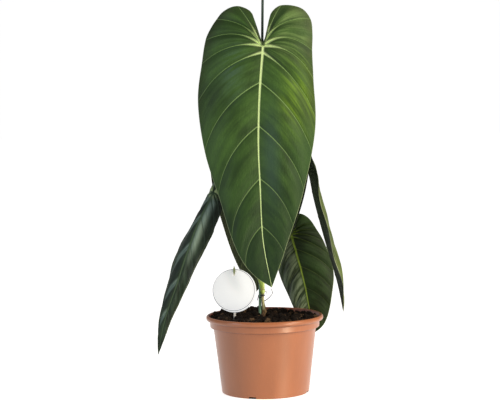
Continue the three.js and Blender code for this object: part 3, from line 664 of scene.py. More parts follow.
def pot_profile():
    rim, top, foot, wall = POT["rim"], POT["height"], POT["foot"], POT["wall"]
    outside = [
        (0, 0.5), (2.2, 0.5), (2.6, 0.02), (POT["hub"] - 6, 0.02), (POT["hub"] - 5.4, 0.5),
        (POT["hub"] - 4.6, 0.5), (POT["hub"] - 4, 0.02), (POT["hub"], 0.0),
        (POT["hub"] + 4, POT["floor"]), (foot - wall, POT["floor"]), (foot - wall, 0),
        (foot - 0.3, 0), (foot, 0.8), (POT["neck"], COLLAR_FOOT),
        (POT["collar"] - 0.9, COLLAR_FOOT + 0.4), (POT["collar"] - 0.3, COLLAR_FOOT + 1.2),
        (POT["collar"], BEAD_FOOT - 0.4), (rim - POT["bead_inset"], BEAD_FOOT),
        (rim - 0.8, BEAD_FOOT + 1.2), (rim, BEAD_FOOT + 3.2), (rim - 0.3, top - 2.2),
        (rim - 1.4, top - 0.6), (rim - POT["bead_inset"], top), (POT["collar"] + wall, top - 0.8),
    ]
    return outside + inside_profile(0)[::-1]


def drain_cutter():
    """The holes in the floor and the notches in the foot."""
    shapes = []
    radius = DRAIN["radius"]
    for i in range(DRAIN["holes"]):
        hole = turned(np.array([(0, -1), (radius, -1), (radius, 9), (0, 9)]), SIDES["drain"])
        rotation = turn_about_z((i + 0.5) / DRAIN["holes"] * 2 * math.pi)
        hole.points = (hole.points + (DRAIN["circle"], 0, 0)) @ rotation.T
        shapes.append(hole)
    for i in range(DRAIN["notches"]):
        notch = block((10, DRAIN["notch_width"], 2 * DRAIN["notch_height"]), (POT["foot"], 0, 0))
        rotation = turn_about_z(math.radians(DRAIN["first_notch"] + i / DRAIN["notches"] * 360))
        notch.points = notch.points @ rotation.T
        shapes.append(notch)
    return Shape.join(shapes)


def plastic(settings, inside):
    """Satin terracotta plastic with faint flow marks, scuffs and soil dust, stained inside, with
    painted shade in the creases under the bead and at the collar's foot.
    """
    name = "terracotta_inside" if inside else "terracotta_plastic"
    s = Shader(name, IOR=1.46, Specular_IOR_Level=0.75)
    at = s.place()
    x, y, z = s.axes(at)
    flow = s.noise(s.combine(x * 0.03, y * 0.03, z * 0.01), detail=3.0)
    streak = s.noise(s.combine(x * 0.9, y * 0.9, z * 0.015))
    grain = s.noise(at, 1.6)
    dust = s.near(s.cells(at, 0.3), 0.13) * s.smooth(s.noise(at, 0.08), 0.5, 0.65)
    tint = s.paint(settings.colour,
                   (scaled(settings.colour, 0.9), s.smooth(flow, 0.4, 0.7)),
                   (scaled(settings.colour, 1.1, 0.01), s.smooth(streak, 0.56, 0.72) * 0.3),
                   ("dust", dust * 0.4))
    if inside:
        tint = s.paint(tint, ("stain", 0.5 + s.smooth(s.noise(at, 0.12, 4.0), 0.35, 0.6) * 0.35))
    else:
        # Painted shade: thin dark bands in the creases under the bead and at the collar's foot.
        crease_shade = s.band(z, BEAD_FOOT - 0.4, 1.3) + s.band(z, COLLAR_FOOT, 1.4)
        tint = s.paint(tint, (scaled(settings.colour, 0.35), crease_shade * 0.55))
    on_rim = s.smooth(z, POT["height"] - 3.0, POT["height"] - 0.2)
    marks = s.near(s.cells(at, 0.55), 0.2) * on_rim * s.smooth(s.noise(at, 0.1), 0.5, 0.6)
    scuff = s.smooth(s.noise(s.combine(x * 0.3, y * 0.3, z * 2.2), detail=4.0), 0.6, 0.72)
    rough = settings.roughness + scuff * 0.12 + grain * 0.06
    height = grain * 0.03 + streak * 0.02 + scuff * 0.015
    return s.finish(s.paint(tint, ("soil_mark", marks * 0.7)), rough, height)


class AddPot(bpy.types.Operator):
    """Adds the round plastic pot with its rolled rim, foot notches and drain holes"""
    bl_idname = "potted_plant.add_pot"
    bl_label = "Add pot"

    def execute(self, context):
        settings, sides = context.scene.plant_pot, SIDES["pot"]
        profile = rounded(pot_profile(), settings.rounding / MM)
        shell = turned(profile, sides)
        lip, ends = np.argmax(profile[:, 1]) + 1, len(shell.points) - 2
        shell.finish = [int(min(face) // sides > lip and max(face) < ends) for face in shell.faces]
        shell.finish[-sides:] = [1] * sides
        piece("pot_shell", shell, [plastic(settings, False), plastic(settings, True)],
              ["pot"], sharp=40, cutter=drain_cutter())
        return {"FINISHED"}


# ---------------------------------------------------------------- soil

def soil_height(x, y):
    """Height of the soil's surface: heaps, a dip and clods."""
    height = SOIL["level"] + 0 * x
    fade = 1 - (np.hypot(x, y) / SOIL["mound_edge"]) ** 6
    for rise, cx, cy, spread in SOIL["mounds"]:
        height = height + fade * rise * np.exp(-((x - cx) ** 2 + (y - cy) ** 2) / spread ** 2)
    ridges = np.sin(0.31 * x + 1.3 * np.sin(0.17 * y))
    clods = ridges * np.cos(0.27 * y - 0.8 * np.sin(0.21 * x))
    crumbs = np.sin(0.83 * x + 0.4 * y) * np.sin(0.71 * y - 0.35 * x)
    return height + SOIL["roughness"] * (0.7 * clods + 0.4 * crumbs)


def fine_grain(x, y):
    """Small lumps of the surface."""
    return (0.35 * np.sin(1.9 * x + 1.1 * np.sin(1.3 * y)) * np.sin(2.1 * y - 0.7 * np.sin(1.7 * x))
            + 0.2 * np.sin(3.7 * x - 2.3 * y) * np.sin(3.1 * y + 1.9 * x))


def soil_body():
    edge = POT["collar"] - POT["wall"] - 2 * GAP
    side = inside_profile(GAP)[:-1] + [(edge, SOIL["level"] - SOIL["edge_drop"])]
    rings = [(r, SOIL["level"]) for r in np.linspace(edge - 0.2, 0.8, STEPS["soil"])]
    shape = turned(np.array(side + rings + [(0, SOIL["level"])]), SIDES["soil"])
    p = shape.points
    top = p[:, 2] > SOIL["level"] - 1
    p[top, 2] = soil_height(p[top, 0], p[top, 1]) + fine_grain(p[top, 0], p[top, 1])
    return shape


def seeded(state):
    """Repeatable random numbers between 0 and 1, the same as those that placed the solid chips."""
    while True:
        state = (state * 1664525 + 1013904223) % 4294967296
        yield state / 4294967296


def scattered(uniform, group):
    """A random place on the soil, spread evenly over a group's reach."""
    angle = uniform(0, 2 * math.pi)
    radius = group["reach"] * math.sqrt(uniform(group["least"], 1))
    return radius * math.cos(angle), radius * math.sin(angle)


def euler_matrix(a, b, c):
    turns = [Matrix.Rotation(angle, 3, axis) for angle, axis in zip((a, b, c), "XYZ")]
    return np.array(turns[0] @ turns[1] @ turns[2])


def chips():
    """Bark chips with worn corners, where the solid ones lie, and some smaller ones."""
    rolls = seeded(SOIL["seed"])
    source = random.Random(SMALL_CHIPS["seed"])
    placed = []
    for _ in range(CHIPS["count"]):
        angle = 2 * math.pi * next(rolls)
        radius = mixed(CHIPS["nearest"], CHIPS["farthest"], math.sqrt(next(rolls)))
        size = [mixed(low, high, next(rolls)) for low, high in CHIPS["size"]]
        turn = (0.5 * next(rolls), 0.5 * next(rolls), 2 * math.pi * next(rolls))
        placed.append((radius * math.cos(angle), radius * math.sin(angle), size, turn))
    for _ in range(SMALL_CHIPS["count"]):
        x, y = scattered(source.uniform, SMALL_CHIPS)
        size = [source.uniform(*span) for span in SMALL_CHIPS["size"]]
        turn = [source.uniform(*span) for span in SMALL_CHIPS["turn"]]
        placed.append((x, y, size, turn))
    ball = icosphere(2)
    shapes = []
    for x, y, size, turn in placed:
        points = ball.points / np.abs(ball.points).max(axis=1)[:, None] ** 0.7
        points = points * (np.array(size) / 2) * (1 + 0.12 * np.sin(5 * ball.points[:, :1] + x))
        points[:, 2] += 0.25 * np.sin(2.2 * points[:, 0] + y) * np.sin(1.7 * points[:, 1] + x)
        points = points @ euler_matrix(*turn).T + (x, y, float(soil_height(x, y)))
        tone = np.full(len(points), source.random())
        grain = ball.points[:, 1] * 3 + x
        shapes.append(Shape(points, ball.faces, {"tone": tone, "grain": grain}))
    return Shape.join(shapes)


def icosphere(divisions):
    mesh = bmesh.new()
    bmesh.ops.create_icosphere(mesh, subdivisions=divisions, radius=1)
    points = [tuple(v.co) for v in mesh.verts]
    faces = [tuple(v.index for v in f.verts) for f in mesh.faces]
    mesh.free()
    return Shape(points, faces)


def crumbs(count):
    """Loose lumps of peat in all sizes, more of them small."""
    source = np.random.default_rng(CRUMBS["seed"])
    fine, coarse = icosphere(1), icosphere(2)
    shapes = []
    for _ in range(count):
        x, y = scattered(source.uniform, CRUMBS)
        size = CRUMBS["smallest"] + CRUMBS["spread"] * source.random() ** 3.2
        ball = coarse if size > CRUMBS["coarse"] else fine
        stretch = source.uniform(0.65, 1.25, 3) * size
        lumps = 1 + source.normal(0, 0.13, len(ball.points))
        points = ball.points * lumps[:, None] * stretch
        points = points @ euler_matrix(*source.uniform(0, 6.3, 3)).T
        z = float(soil_height(x, y)) + size * source.uniform(-0.2, 0.55)
        shapes.append(Shape(points + (x, y, z), ball.faces,
                            {"tone": np.full(len(points), source.random())}))
    return Shape.join(shapes)


def fibres(count):
    """Thin roots and coir fibres that lie on the surface."""
    source = np.random.default_rng(FIBRES["seed"])
    shapes = []
    for _ in range(count):
        x, y = scattered(source.uniform, FIBRES)
        heading, length = source.uniform(0, 6.3), source.uniform(*FIBRES["length"])
        steps = np.linspace(-0.5, 0.5, 9)
        bend = source.uniform(-0.9, 0.9)
        x = x + length * steps * np.cos(heading + bend * steps)
        y = y + length * steps * np.sin(heading + bend * steps)
        keep = np.hypot(x, y) < FIBRES["edge"]
        if keep.sum() < 4:
            continue
        x, y = x[keep], y[keep]
        arch = np.sin(np.linspace(0, math.pi, len(x)))
        z = soil_height(x, y) + 0.5 + source.uniform(0, 1.3) * arch
        shape = tube(np.stack([x, y, z], 1), source.uniform(*FIBRES["radius"]), SIDES["fibre"])
        shape.fields["tone"] = np.full(len(shape.points), source.random())
        shapes.append(shape)
    return Shape.join(shapes)


def earth(name, settings, light):
    """Peaty soil. light is how much of it is pale."""
    s = Shader(name, IOR=1.4, Specular_IOR_Level=0.25)
    at = s.place()
    tone, = s.fields("tone")
    speck = s.axes(s.cells(at, 0.9, output="Color"))[0]
    tint = s.shaded(settings.colour, 0.45, s.smooth(s.noise(at, 0.35, 4.0), 0.3, 0.7))
    tint = s.paint(tint, ("peat", s.smooth(tone, 0.6, 1.0) * 0.22),
                   ("dry_peat", s.smooth(tone + speck * 0.12, 0.99 - light, 1.05) * 0.7),
                   ("brown_speck", s.smooth(speck, 0.93, 0.98) * 0.25))
    grain = s.noise(at, 2.2, 4.0, 0.65)
    return s.finish(tint, 0.85 + grain * 0.12, grain * 0.5)


def bark(settings):
    s = Shader("bark", IOR=1.45, Specular_IOR_Level=0.3)
    tone, grain = s.fields("tone", "grain")
    z = s.axes(s.place())[2]
    lines = s.noise(s.combine(grain * 2.5, z * 0.3, tone * 9), detail=3.0)
    tint = s.paint(s.shaded(settings.chip, 0.3, s.smooth(tone, 0.1, 0.95)),
                   (scaled(settings.chip, 1.5), s.smooth(lines, 0.55, 0.75) * 0.6),
                   ("bark_furrow", s.smooth(lines, 0.5, 0.32) * 0.7))
    return s.finish(tint, 0.8, lines * 0.6)


def fibre():
    s = Shader("fibre", Specular_IOR_Level=0.25)
    tone, = s.fields("tone")
    tint = s.paint(colour("dark_fibre"), ("pale_fibre", s.smooth(tone, 0.3, 1.0)),
                   ("soiled_fibre", s.noise(s.place(), 0.6) * 0.6))
    return s.finish(tint, 0.8)


class AddSoil(bpy.types.Operator):
    """Adds the potting soil with its crumbs, bark chips and fibres"""
    bl_idname = "potted_plant.add_soil"
    bl_label = "Add soil"

    def execute(self, context):
        settings = context.scene.plant_soil
        body = soil_body()
        body.fields["tone"] = np.full(len(body.points), 0.3)
        peat, loose = earth("soil", settings, 0.0), earth("crumbs", settings, 0.02)
        piece("soil_body", body, [peat], ["soil"])
        piece("soil_crumbs", crumbs(settings.crumbs), [loose])
        piece("bark_chips", chips(), [bark(settings)], sharp=50)
        piece("soil_fibres", fibres(settings.fibres), [fibre()])
        return {"FINISHED"}


# ---------------------------------------------------------------- stake, stem, roots and tie

def stake_shape():
    foot, top = np.array(STAKE["foot"], float), np.array(STAKE["top"], float)
    axis = top - foot
    length = np.linalg.norm(axis)
    axis /= length
    point = STAKE["point"]
    places = np.concatenate([[0, 0.4], np.linspace(4, point, 4),
                             np.linspace(20, length - 3, STEPS["stake"]),
                             length - np.array([1.2, 0.5, 0.12, 0])])
    share = (places - point) / (length - point)
    taper = mixed(STAKE["foot_radius"], STAKE["top_radius"], share)
    pointed = mixed(STAKE["point_radius"], STAKE["foot_radius"], places / point)
    radii = np.where(places < point, pointed, taper)
    # The stake leans, so the ring at its top is a little smaller than the solid's to stay below it.
    radii[-4:] = STAKE["top_radius"] * np.array([0.99, 0.92, 0.72, 0.46])

    def relief(along, angle):
        ridges = 0.06 * np.sin(9 * angle + 0.6 * np.sin(along / 60)) + 0.04 * np.sin(17 * angle)
        joint = sum(0.22 * np.exp(-((along - where) / 1.6) ** 2) for where in STAKE["joints"])
        return (ridges - 0.08 + joint - 0.12) * np.minimum(1, (length - along) / 3 + 0.1)

    return tube(foot + axis * places[:, None], radii, SIDES["stake"], relief)


def stained_wood(settings):
    """Green stained bamboo with long fibres and worn spots, darkened towards its top by painted
    shade.
    """
    s = Shader("stained_wood", IOR=1.45, Specular_IOR_Level=0.35)
    along, turn = s.fields("along", "turn")
    grain = s.noise(s.combine((turn * 2 * math.pi).sine() * 9, turn * 26, along * 0.02), detail=3.0)
    worn = s.noise(s.combine(turn * 5, along * 0.05), detail=4.0)
    joints = [("cane_joint", s.band(along, where, 1.4) * 0.8) for where in STAKE["joints"]]
    # Painted shade: the stake turns dark towards its top.
    tint = s.paint(s.shaded(settings.stake, 0.6, s.smooth(grain, 0.3, 0.6)),
                   ("worn_stain", s.smooth(grain, 0.54, 0.7) * 0.6),
                   ("dark_stain", s.smooth(along, *STAKE["dark"]) * 0.85),
                   ("bare_wood", s.smooth(worn, 0.62, 0.72) * 0.35), *joints)
    return s.finish(tint, 0.5 + grain * 0.2, grain * 0.25)


class AddStake(bpy.types.Operator):
    """Adds the stained stake"""
    bl_idname = "potted_plant.add_stake"
    bl_label = "Add stake"

    def execute(self, context):
        settings = context.scene.plant_stem
        piece("stake_rod", stake_shape(), [stained_wood(settings)], ["stake"])
        return {"FINISHED"}


def stem_shape():
    path = curve_through(STEM["path"], STEPS["stem"])
    bulge = np.max([np.exp(-((path[:, 2] - z) / 2.6) ** 2) for z in STEM["nodes"]], axis=0)
    radii = through(STEM["heights"], STEM["radii"], path[:, 2]) + STEM["bulge"] * bulge - 0.05
    heights = path[:, 2]

    def relief(along, angle):
        height = np.interp(along, along[:, 0], heights)
        scar = sum(-0.3 * np.exp(-((height - z - 2.2 - 0.5 * np.sin(angle + z)) / 0.5) ** 2)
                   for z in STEM["nodes"])
        ribs = 0.05 * np.sin(11 * angle + 0.1 * height)
        sheath = np.exp(-((height - 113) / 6) ** 2)
        return scar + ribs + sheath * (0.25 * np.abs(np.sin(3 * angle + 0.3 * height)) - 0.05)

    shape = tube(path, radii, SIDES["stem"], relief)
    shape.fields["bark"] = np.zeros(len(shape.points))
    shapes = [shape]
    for radius, points in AERIAL_ROOTS:
        root_path = curve_through(points, STEPS["root"])
        t = np.linspace(0, 1, len(root_path))
        root = tube(root_path, radius * (1 - 0.4 * t), SIDES["root"],
                    lambda along, angle: 0.04 * np.sin(2.3 * along + 2 * angle))
        root.fields["bark"] = np.ones(len(root.points))
        shapes.append(root)
    return Shape.join(shapes)


def living_stem(settings):
    """Yellow-green stem with a dry tan sheath below, dark scars and pale ribs, a painted highlight
    on its lit side, a painted shadow on the sheath and painted shade at the tie.
    """
    s = Shader("stem", IOR=1.42, Specular_IOR_Level=0.45)
    at = s.place()
    x, _, z = s.axes(at)
    turn, on_root = s.fields("turn", "bark")
    ribs = s.noise(s.combine(turn * 30, z * 0.05))
    blotch = s.noise(at, 0.3, 3.0)
    green = s.paint(s.shaded(settings.stem, 0.45, s.smooth(ribs, 0.3, 0.6)),
                    ("lit_stem", s.smooth(x, -3.2, -1.0) * 0.85))
    cream = s.paint(colour("dry_cream"), ("dry_brown", s.smooth(ribs, 0.5, 0.75)),
                    ("sheath_shadow", s.smooth(x, -0.6, 0.4) * 0.9))
    sheath = s.paint(settings.sheath, (scaled(settings.sheath, 0.3), s.smooth(ribs, 0.42, 0.6)))
    scars = [("leaf_scar", s.band(z, node + 2.2, 1.3) * s.smooth(blotch, 0.25, 0.5) * 0.75)
             for node in STEM["nodes"]]
    root = s.mix(settings.root, colour("pale_root"), s.smooth(blotch, 0.4, 0.6))
    # Painted shade: a dark band round the stem where the wire tie wraps it.
    tint = s.paint(sheath, (cream, s.smooth(z, *STEM["cream"])),
                   (green, s.smooth(z, *STEM["green"])), *scars,
                   ("under_tie", s.band(z, TIE["height"] + 0.1, 4.0) * 0.9),
                   ("cork", s.smooth(blotch, 0.6, 0.75) * 0.4), (root, on_root))
    return s.finish(tint, 0.42 + ribs * 0.2, ribs * 0.25 + blotch * 0.2)


class AddStem(bpy.types.Operator):
    """Adds the stem with its scars, sheath and aerial roots"""
    bl_idname = "potted_plant.add_stem"
    bl_label = "Add stem"

    def execute(self, context):
        settings = context.scene.plant_stem
        piece("stem_with_roots", stem_shape(), [living_stem(settings)], ["stem"])
        return {"FINISHED"}


def tie_path():
    """Round the back of the stake and the front of the stem, with a tail at the left."""
    z = TIE["height"]
    foot, top = np.array(STAKE["foot"]), np.array(STAKE["top"])
    post = foot + (top - foot) * (z - foot[2]) / (top[2] - foot[2])
    vine_path = curve_through(STEM["path"], 400)
    vine = vine_path[np.argmin(np.abs(vine_path[:, 2] - z))]
    reach = TIE["radius"] + TIE["clearance"]
    post_reach = STAKE["foot_radius"] + reach
    vine_reach = STEM["waist"] + reach + GAP / 2
    heading = math.atan2(vine[1] - post[1], vine[0] - post[0])

    def about(centre, radius, degrees, lift):
        angle = heading + math.radians(degrees)
        x, y = radius * math.cos(angle), radius * math.sin(angle)
        return (centre[0] + x, centre[1] + y, z + lift)

    return [
        about(post, post_reach + TIE["tail"], 172, -TIE["droop"]),
        about(post, post_reach + 2.6, 176, -0.5 * TIE["droop"]),
        about(post, post_reach + 1.6, 168, -0.6), about(post, post_reach, 150, 0.6),
        about(post, post_reach, 95, 0.3), about(vine, vine_reach, 80, 0),
        about(vine, vine_reach, 30, 0), about(vine, vine_reach, -30, 0),
        about(vine, vine_reach, -75, 0.1), about(vine, vine_reach + 0.3, -115, 0.3),
    ]


class AddTie(bpy.types.Operator):
    """Adds the wire tie round the stem and the stake"""
    bl_idname = "potted_plant.add_tie"
    bl_label = "Add tie"

    def execute(self, context):
        s = Shader("coated_wire", IOR=1.5, Specular_IOR_Level=0.5)
        wear = s.noise(s.place(), 0.8, 3.0)
        tint = s.paint(context.scene.plant_stem.tie, ("worn_wire", s.smooth(wear, 0.5, 0.75)))
        material = s.finish(tint, 0.4 + wear * 0.2, wear * 0.2)
        wire = tube(curve_through(tie_path(), STEPS["tie"]), TIE["radius"] - 0.03, SIDES["tie"],
                    lambda along, angle: 0.03 * np.sin(3.1 * along + 2 * angle))
        piece("wire_tie", wire, [material], ["tie"])
        return {"FINISHED"}


# ---------------------------------------------------------------- label

def label_place(points):
    """From the label's plane to the row's frame."""
    lean = math.radians(90 - LABEL["lean"])
    c, s = math.cos(lean), math.sin(lean)
    rotation = np.array([(1, 0, 0), (0, c, -s), (0, s, c)])
    return np.asarray(points) @ rotation.T + LABEL["centre"]


def label_disc():
    """The disc, and the block that cuts its slot."""
    r, half = LABEL["radius"], LABEL["thickness"] / 2
    rings = list(np.linspace(0, r - 0.6, 12)[1:])
    rim = [(r - 0.1, -half), (r, -half + 0.12), (r, half - 0.12), (r - 0.1, half)]
    profile = [(x, -half) for x in [0] + rings] + rim + [(x, half) for x in rings[::-1] + [0]]
    disc = turned(np.array(profile), SIDES["label"])
    slot = block((*LABEL["slot"], 4), (0, LABEL["slot_rise"], 0))
    for shape in (disc, slot):
        shape.points = label_place(shape.points)
    return disc, slot


def label_stick():
    """A flat stick that comes forward through the slot and ends in a point."""
    top, foot, rise = LABEL["top"], LABEL["foot"], LABEL["slot_rise"]
    offset, bend = LABEL["offset"], LABEL["bend"] / 2
    width, thickness = LABEL["stick"]
    back, front = rise - bend, rise + bend
    places = np.concatenate([np.linspace(foot, back, 60), np.linspace(back, front, 9)[1:],
                             np.linspace(front, top, 16)[1:]])
    lift = np.interp(places, [back, front], [-offset, offset])
    half = np.interp(places, [top - LABEL["point"], top], [width / 2, 0.18])
    sides = SIDES["stick"]
    u, v = (np.sign(wave) * np.abs(wave) ** 0.25
            for wave in (np.cos(around(sides)), np.sin(around(sides))))
    rings = np.empty((len(places), sides, 3))
    rings[..., 0] = half[:, None] * u
    rings[..., 1] = places[:, None]
    rings[..., 2] = lift[:, None] + (thickness / 2) * v
    points = rings.reshape(-1, 3)
    last = len(points) - sides
    faces = [(i + k, i + sides + k, i + sides + (k + 1) % sides, i + (k + 1) % sides)
             for i in range(0, last, sides) for k in range(sides)]
    faces += [tuple(range(sides)), tuple(last + k for k in reversed(range(sides)))]
    return Shape(label_place(points), faces, {"disc": points})


def card(settings):
    """White plastic with a printed ring, a soft painted shadow of the leaf above and a painted
    glow, a little light of its own.
    """
    s = Shader("label_card", IOR=1.5, Specular_IOR_Level=0.5, Emission_Strength=0.22,
               Emission_Color=(1, 1, 1))
    at = s.place()
    lean = math.radians(LABEL["lean"])
    x, back, rise = (axis - middle for axis, middle in zip(s.axes(at), LABEL["centre"]))
    x, y = x + 1.2, back * math.sin(lean) + rise * math.cos(lean) - 0.8
    away = (x * x + y * y) ** 0.5
    front = s.smooth(rise * math.sin(lean) - back * math.cos(lean), 0.1, 0.3)
    ring = s.band(away, settings.ring_radius / MM, settings.ring_width / MM) * front
    haze = s.noise(at, 0.12, 3.0)
    # Painted shadow of the leaf above, across the upper part of the card.
    shade = s.band(x + y * 0.4, 6.0, 16.0) * s.smooth(y, -22.0, 14.0)
    tint = s.paint(settings.card, (scaled(settings.card, 0.97), haze),
                   ("card_shade", shade * 0.8), (settings.ring, ring))
    return s.finish(tint, 0.38 + haze * 0.1, haze * 0.05)


def stick_plastic(settings):
    s = Shader("label_stick", IOR=1.5, Specular_IOR_Level=0.5)
    flat = s.vector_field("disc")
    y = s.axes(flat)[1]
    haze = s.noise(flat, 0.4, 3.0)
    tint = s.paint(colour("low_stick"), ("clean_stick", s.smooth(y, -40.0, -25.0)),
                   (settings.tip, s.smooth(y, 22.0, 26.0)),
                   ("muddy_stick", s.smooth(y, -36.0, -46.0) * haze))
    return s.finish(tint, 0.4 + haze * 0.1, haze * 0.08)


class AddLabel(bpy.types.Operator):
    """Adds the round label and its stick"""
    bl_idname = "potted_plant.add_label"
    bl_label = "Add label"

    def execute(self, context):
        settings = context.scene.plant_label
        disc, slot = label_disc()
        piece("label_card", disc, [card(settings)], ["label_disc"], sharp=40,
              cutter=slot)
        piece("label_stake", label_stick(), [stick_plastic(settings)],
              ["label_stick"], sharp=50)
        return {"FINISHED"}


# ---------------------------------------------------------------- leaves

BLADE_FIELDS = ("vein", "across", "line", "rib", "edge")


def flat_point(leaf, half, q, t):
    """The flat half-leaf: x away from the midrib, l towards the tip, and the vein's length."""
    starts = through(range(VEINS + 1), VEIN_STARTS, q)
    base = leaf["length"] * np.maximum(VEIN_STARTS[0], starts)
    end = through(half["margin"][:, 0], half["margin"][:, 1:], q)
    dent = 1 + half["scallop"] * (np.abs(np.sin(math.pi * q)) - 0.6) * ramp(2, 4, q)
    end_x, end_l = dent * end[..., 0], end[..., 1]
    run = end_l - base
    length = np.hypot(end_x, run)
    bend = np.radians(mixed(half["bend"], VEIN_BEND, ramp(3, 5, q))) * ramp(0.5, 2.5, q)
    direction = np.arctan2(run, end_x) - bend
    handle = 2 * t * (1 - t) * VEIN_REACH * length
    x = handle * np.cos(direction) + t * t * end_x
    l = base * (1 - t * t) + handle * np.sin(direction) + t * t * end_l
    return x, l, length


def blade_frame(leaf, l):
    """Centre, right side and normal of the blade at distances along the midrib."""
    knots = (np.arange(7) / 5 - 0.2) * leaf["length"]
    centre = through(knots, leaf["midrib"], l)
    along = through(knots, leaf["midrib"], l + 0.5) - through(knots, leaf["midrib"], l - 0.5)
    along /= np.linalg.norm(along, axis=-1)[..., None]
    turn = np.radians(through(knots, leaf["turn"], l))
    side = np.stack([np.cos(turn), np.sin(turn), 0 * turn], -1)
    side -= along * np.sum(side * along, -1)[..., None]
    side /= np.linalg.norm(side, axis=-1)[..., None]
    return centre, side, np.cross(along, side)


def blade_height(leaf, half, left, x, q, t):
    fold = half["rise"] * x - half["bow"] * x * x / half["width"]
    pleat = np.abs(np.sin(math.pi * q)) ** 0.8 * (4 * t * (1 - t)) ** 0.7
    fade = ramp(0, 1.5, q) * (1 - ramp(VEINS - 1.5, VEINS, q))
    wave = t ** 3 * np.sin(2.4 * q + (0.4 if left else 2.1))
    return fold + fade * (half["quilt"] * pleat + leaf["wave"] * wave)


def half_grid(leaf, index, q):
    """Points and fields of one half, as columns of veins and rows from the midrib."""
    half = leaf["halves"][index]
    sign = 1 if index else -1
    _, _, length = flat_point(leaf, half, q, 1.0)
    length = np.maximum(length, 1e-6)
    flank, hem = (np.minimum(width / length, most)[:, None] for width, most in (FLANK, HEM))
    even = np.linspace(0, 1, leaf["rows"])
    t = np.hstack([flank * np.array([0, 0.25, 0.5, 0.75]), mixed(flank, 1 - hem, even),
                   1 - 0.45 * hem, 1 + 0 * hem])
    q = q[:, None] + 0 * t
    x, l, _ = flat_point(leaf, half, q, t)
    centre, side, normal = blade_frame(leaf, l)
    height = blade_height(leaf, half, index == 0, x, q, t)
    points = centre + side * (sign * x)[..., None] + normal * height[..., None]

    def flat(q, t):
        return np.stack(flat_point(leaf, half, q, t)[:2], -1)

    step = 0.02
    across = flat(np.minimum(q + step, VEINS), t) - flat(np.maximum(q - step, 0), t)
    outward = flat(q, t + 0.01) - np.stack([x, l], -1)
    spacing = np.abs(across[..., 0] * outward[..., 1] - across[..., 1] * outward[..., 0])
    spacing /= np.maximum(np.linalg.norm(outward, axis=-1), 1e-9) * 2 * step
    line = np.abs(q - np.round(q)) * spacing
    line = np.where((np.round(q) < 1) | (np.round(q) > VEINS - 1), 30, line)
    rim_q = np.linspace(0, VEINS, 700)
    rim_x, rim_l, _ = flat_point(leaf, half, rim_q, 1.0)
    edge = np.hypot(x[..., None] - rim_x, l[..., None] - rim_l).min(axis=-1)
    return {"points": points, "x": sign * x, "l": l, "q": q, "t": t, "line": line, "edge": edge,
            "rib": x}


def blade_shape(leaf, settings):
    """A closed blade with the midrib and veins sunk or raised on both sides."""
    share = np.linspace(0, 1, leaf["columns"], endpoint=False)
    share = share * share * (3 - 2 * share)
    q = np.append((np.arange(VEINS)[:, None] + share).ravel(), VEINS)
    left, right = half_grid(leaf, 0, q), half_grid(leaf, 1, q)
    grid = {key: np.concatenate([left[key][:, :0:-1], right[key]], axis=1) for key in left}
    columns, rows = grid["q"].shape
    points = grid["points"].reshape(-1, 3)
    _, first, same = np.unique(np.round(points, 4), axis=0, return_index=True, return_inverse=True)
    same = same.reshape(-1)
    points = points[first]
    values = {key: grid[key].reshape(-1)[first] for key in grid if key != "points"}

    index = same.reshape(columns, rows)
    corners = [index[:-1, :-1], index[1:, :-1], index[1:, 1:], index[:-1, 1:]]
    quads = np.stack(corners, -1).reshape(-1, 4)
    normals = np.zeros_like(points)
    for triangle in ((0, 1, 2), (0, 2, 3)):
        a, b, c = (points[quads[:, corner]] for corner in triangle)
        face = np.cross(b - a, c - a)
        for corner in triangle:
            np.add.at(normals, quads[:, corner], face)
    normals /= np.maximum(np.linalg.norm(normals, axis=1), 1e-12)[:, None]

    rib, line, edge, t, q, l = (values[k] for k in ("rib", "line", "edge", "t", "q", "l"))
    tip = np.clip(l / leaf["length"], 0, 1)
    rib_width = mixed(2.4, 0.7, tip)
    ridge = np.exp(-(rib / rib_width) ** 2) * (1 - 0.7 * tip)
    hem = ramp(0, HEM[0], edge)
    vein = np.exp(-(line / 1.1) ** 2) * (1 - 0.6 * t) * ramp(0, 4, rib + 2)
    ripple = 0.25 * np.sin(6 * math.pi * q + 3 * t) * np.sin(math.pi * t) * ramp(0, 1, q)
    upper = (settings.rib_rise * ridge - settings.groove * vein) / MM * hem + ripple
    thickness = mixed(0.25, settings.thickness / MM, hem)
    depth = np.exp(-(rib / (rib_width * 0.9)) ** 2) * RIB_DEPTH * (1 - q / VEINS) * hem
    lower = -thickness - depth - 0.45 * np.exp(-(line / 0.8) ** 2) * (1 - 0.6 * t) * hem
    lower = np.maximum(lower, -BLADE_THICKNESS - RIB_DEPTH * (1 - q / VEINS)) + ripple

    count = len(points)
    faces, finish = [], []
    for low, side in ((0, 0), (count, 1)):
        for quad in quads:
            face = list(dict.fromkeys(int(i) + low for i in quad))
            if len(face) > 2:
                faces.append(tuple(face if side == 0 else face[::-1]))
                finish.append(side)
    loop = np.concatenate([index[0], index[1:-1, -1], [index[-1, 0]], index[-2:0:-1, 0]])
    for a, b in zip(loop, np.roll(loop, -1)):
        if a != b:
            faces.append((int(a) + count, int(b) + count, int(b), int(a)))
            finish.append(1)
    both = np.vstack([points + normals * upper[:, None], points + normals * lower[:, None]])
    low, high = (np.array(corner) / MM for corner in LOADED)
    both = np.clip(both, low + BOX_MARGIN, high - BOX_MARGIN)
    fields = {name: np.tile(value, 2) for name, value in zip(BLADE_FIELDS, (q, t, line, rib, edge))}
    fields["flat"] = np.tile(np.stack([values["x"], l, 0 * l], 1), (2, 1))
    return Shape(both, faces, fields, finish)
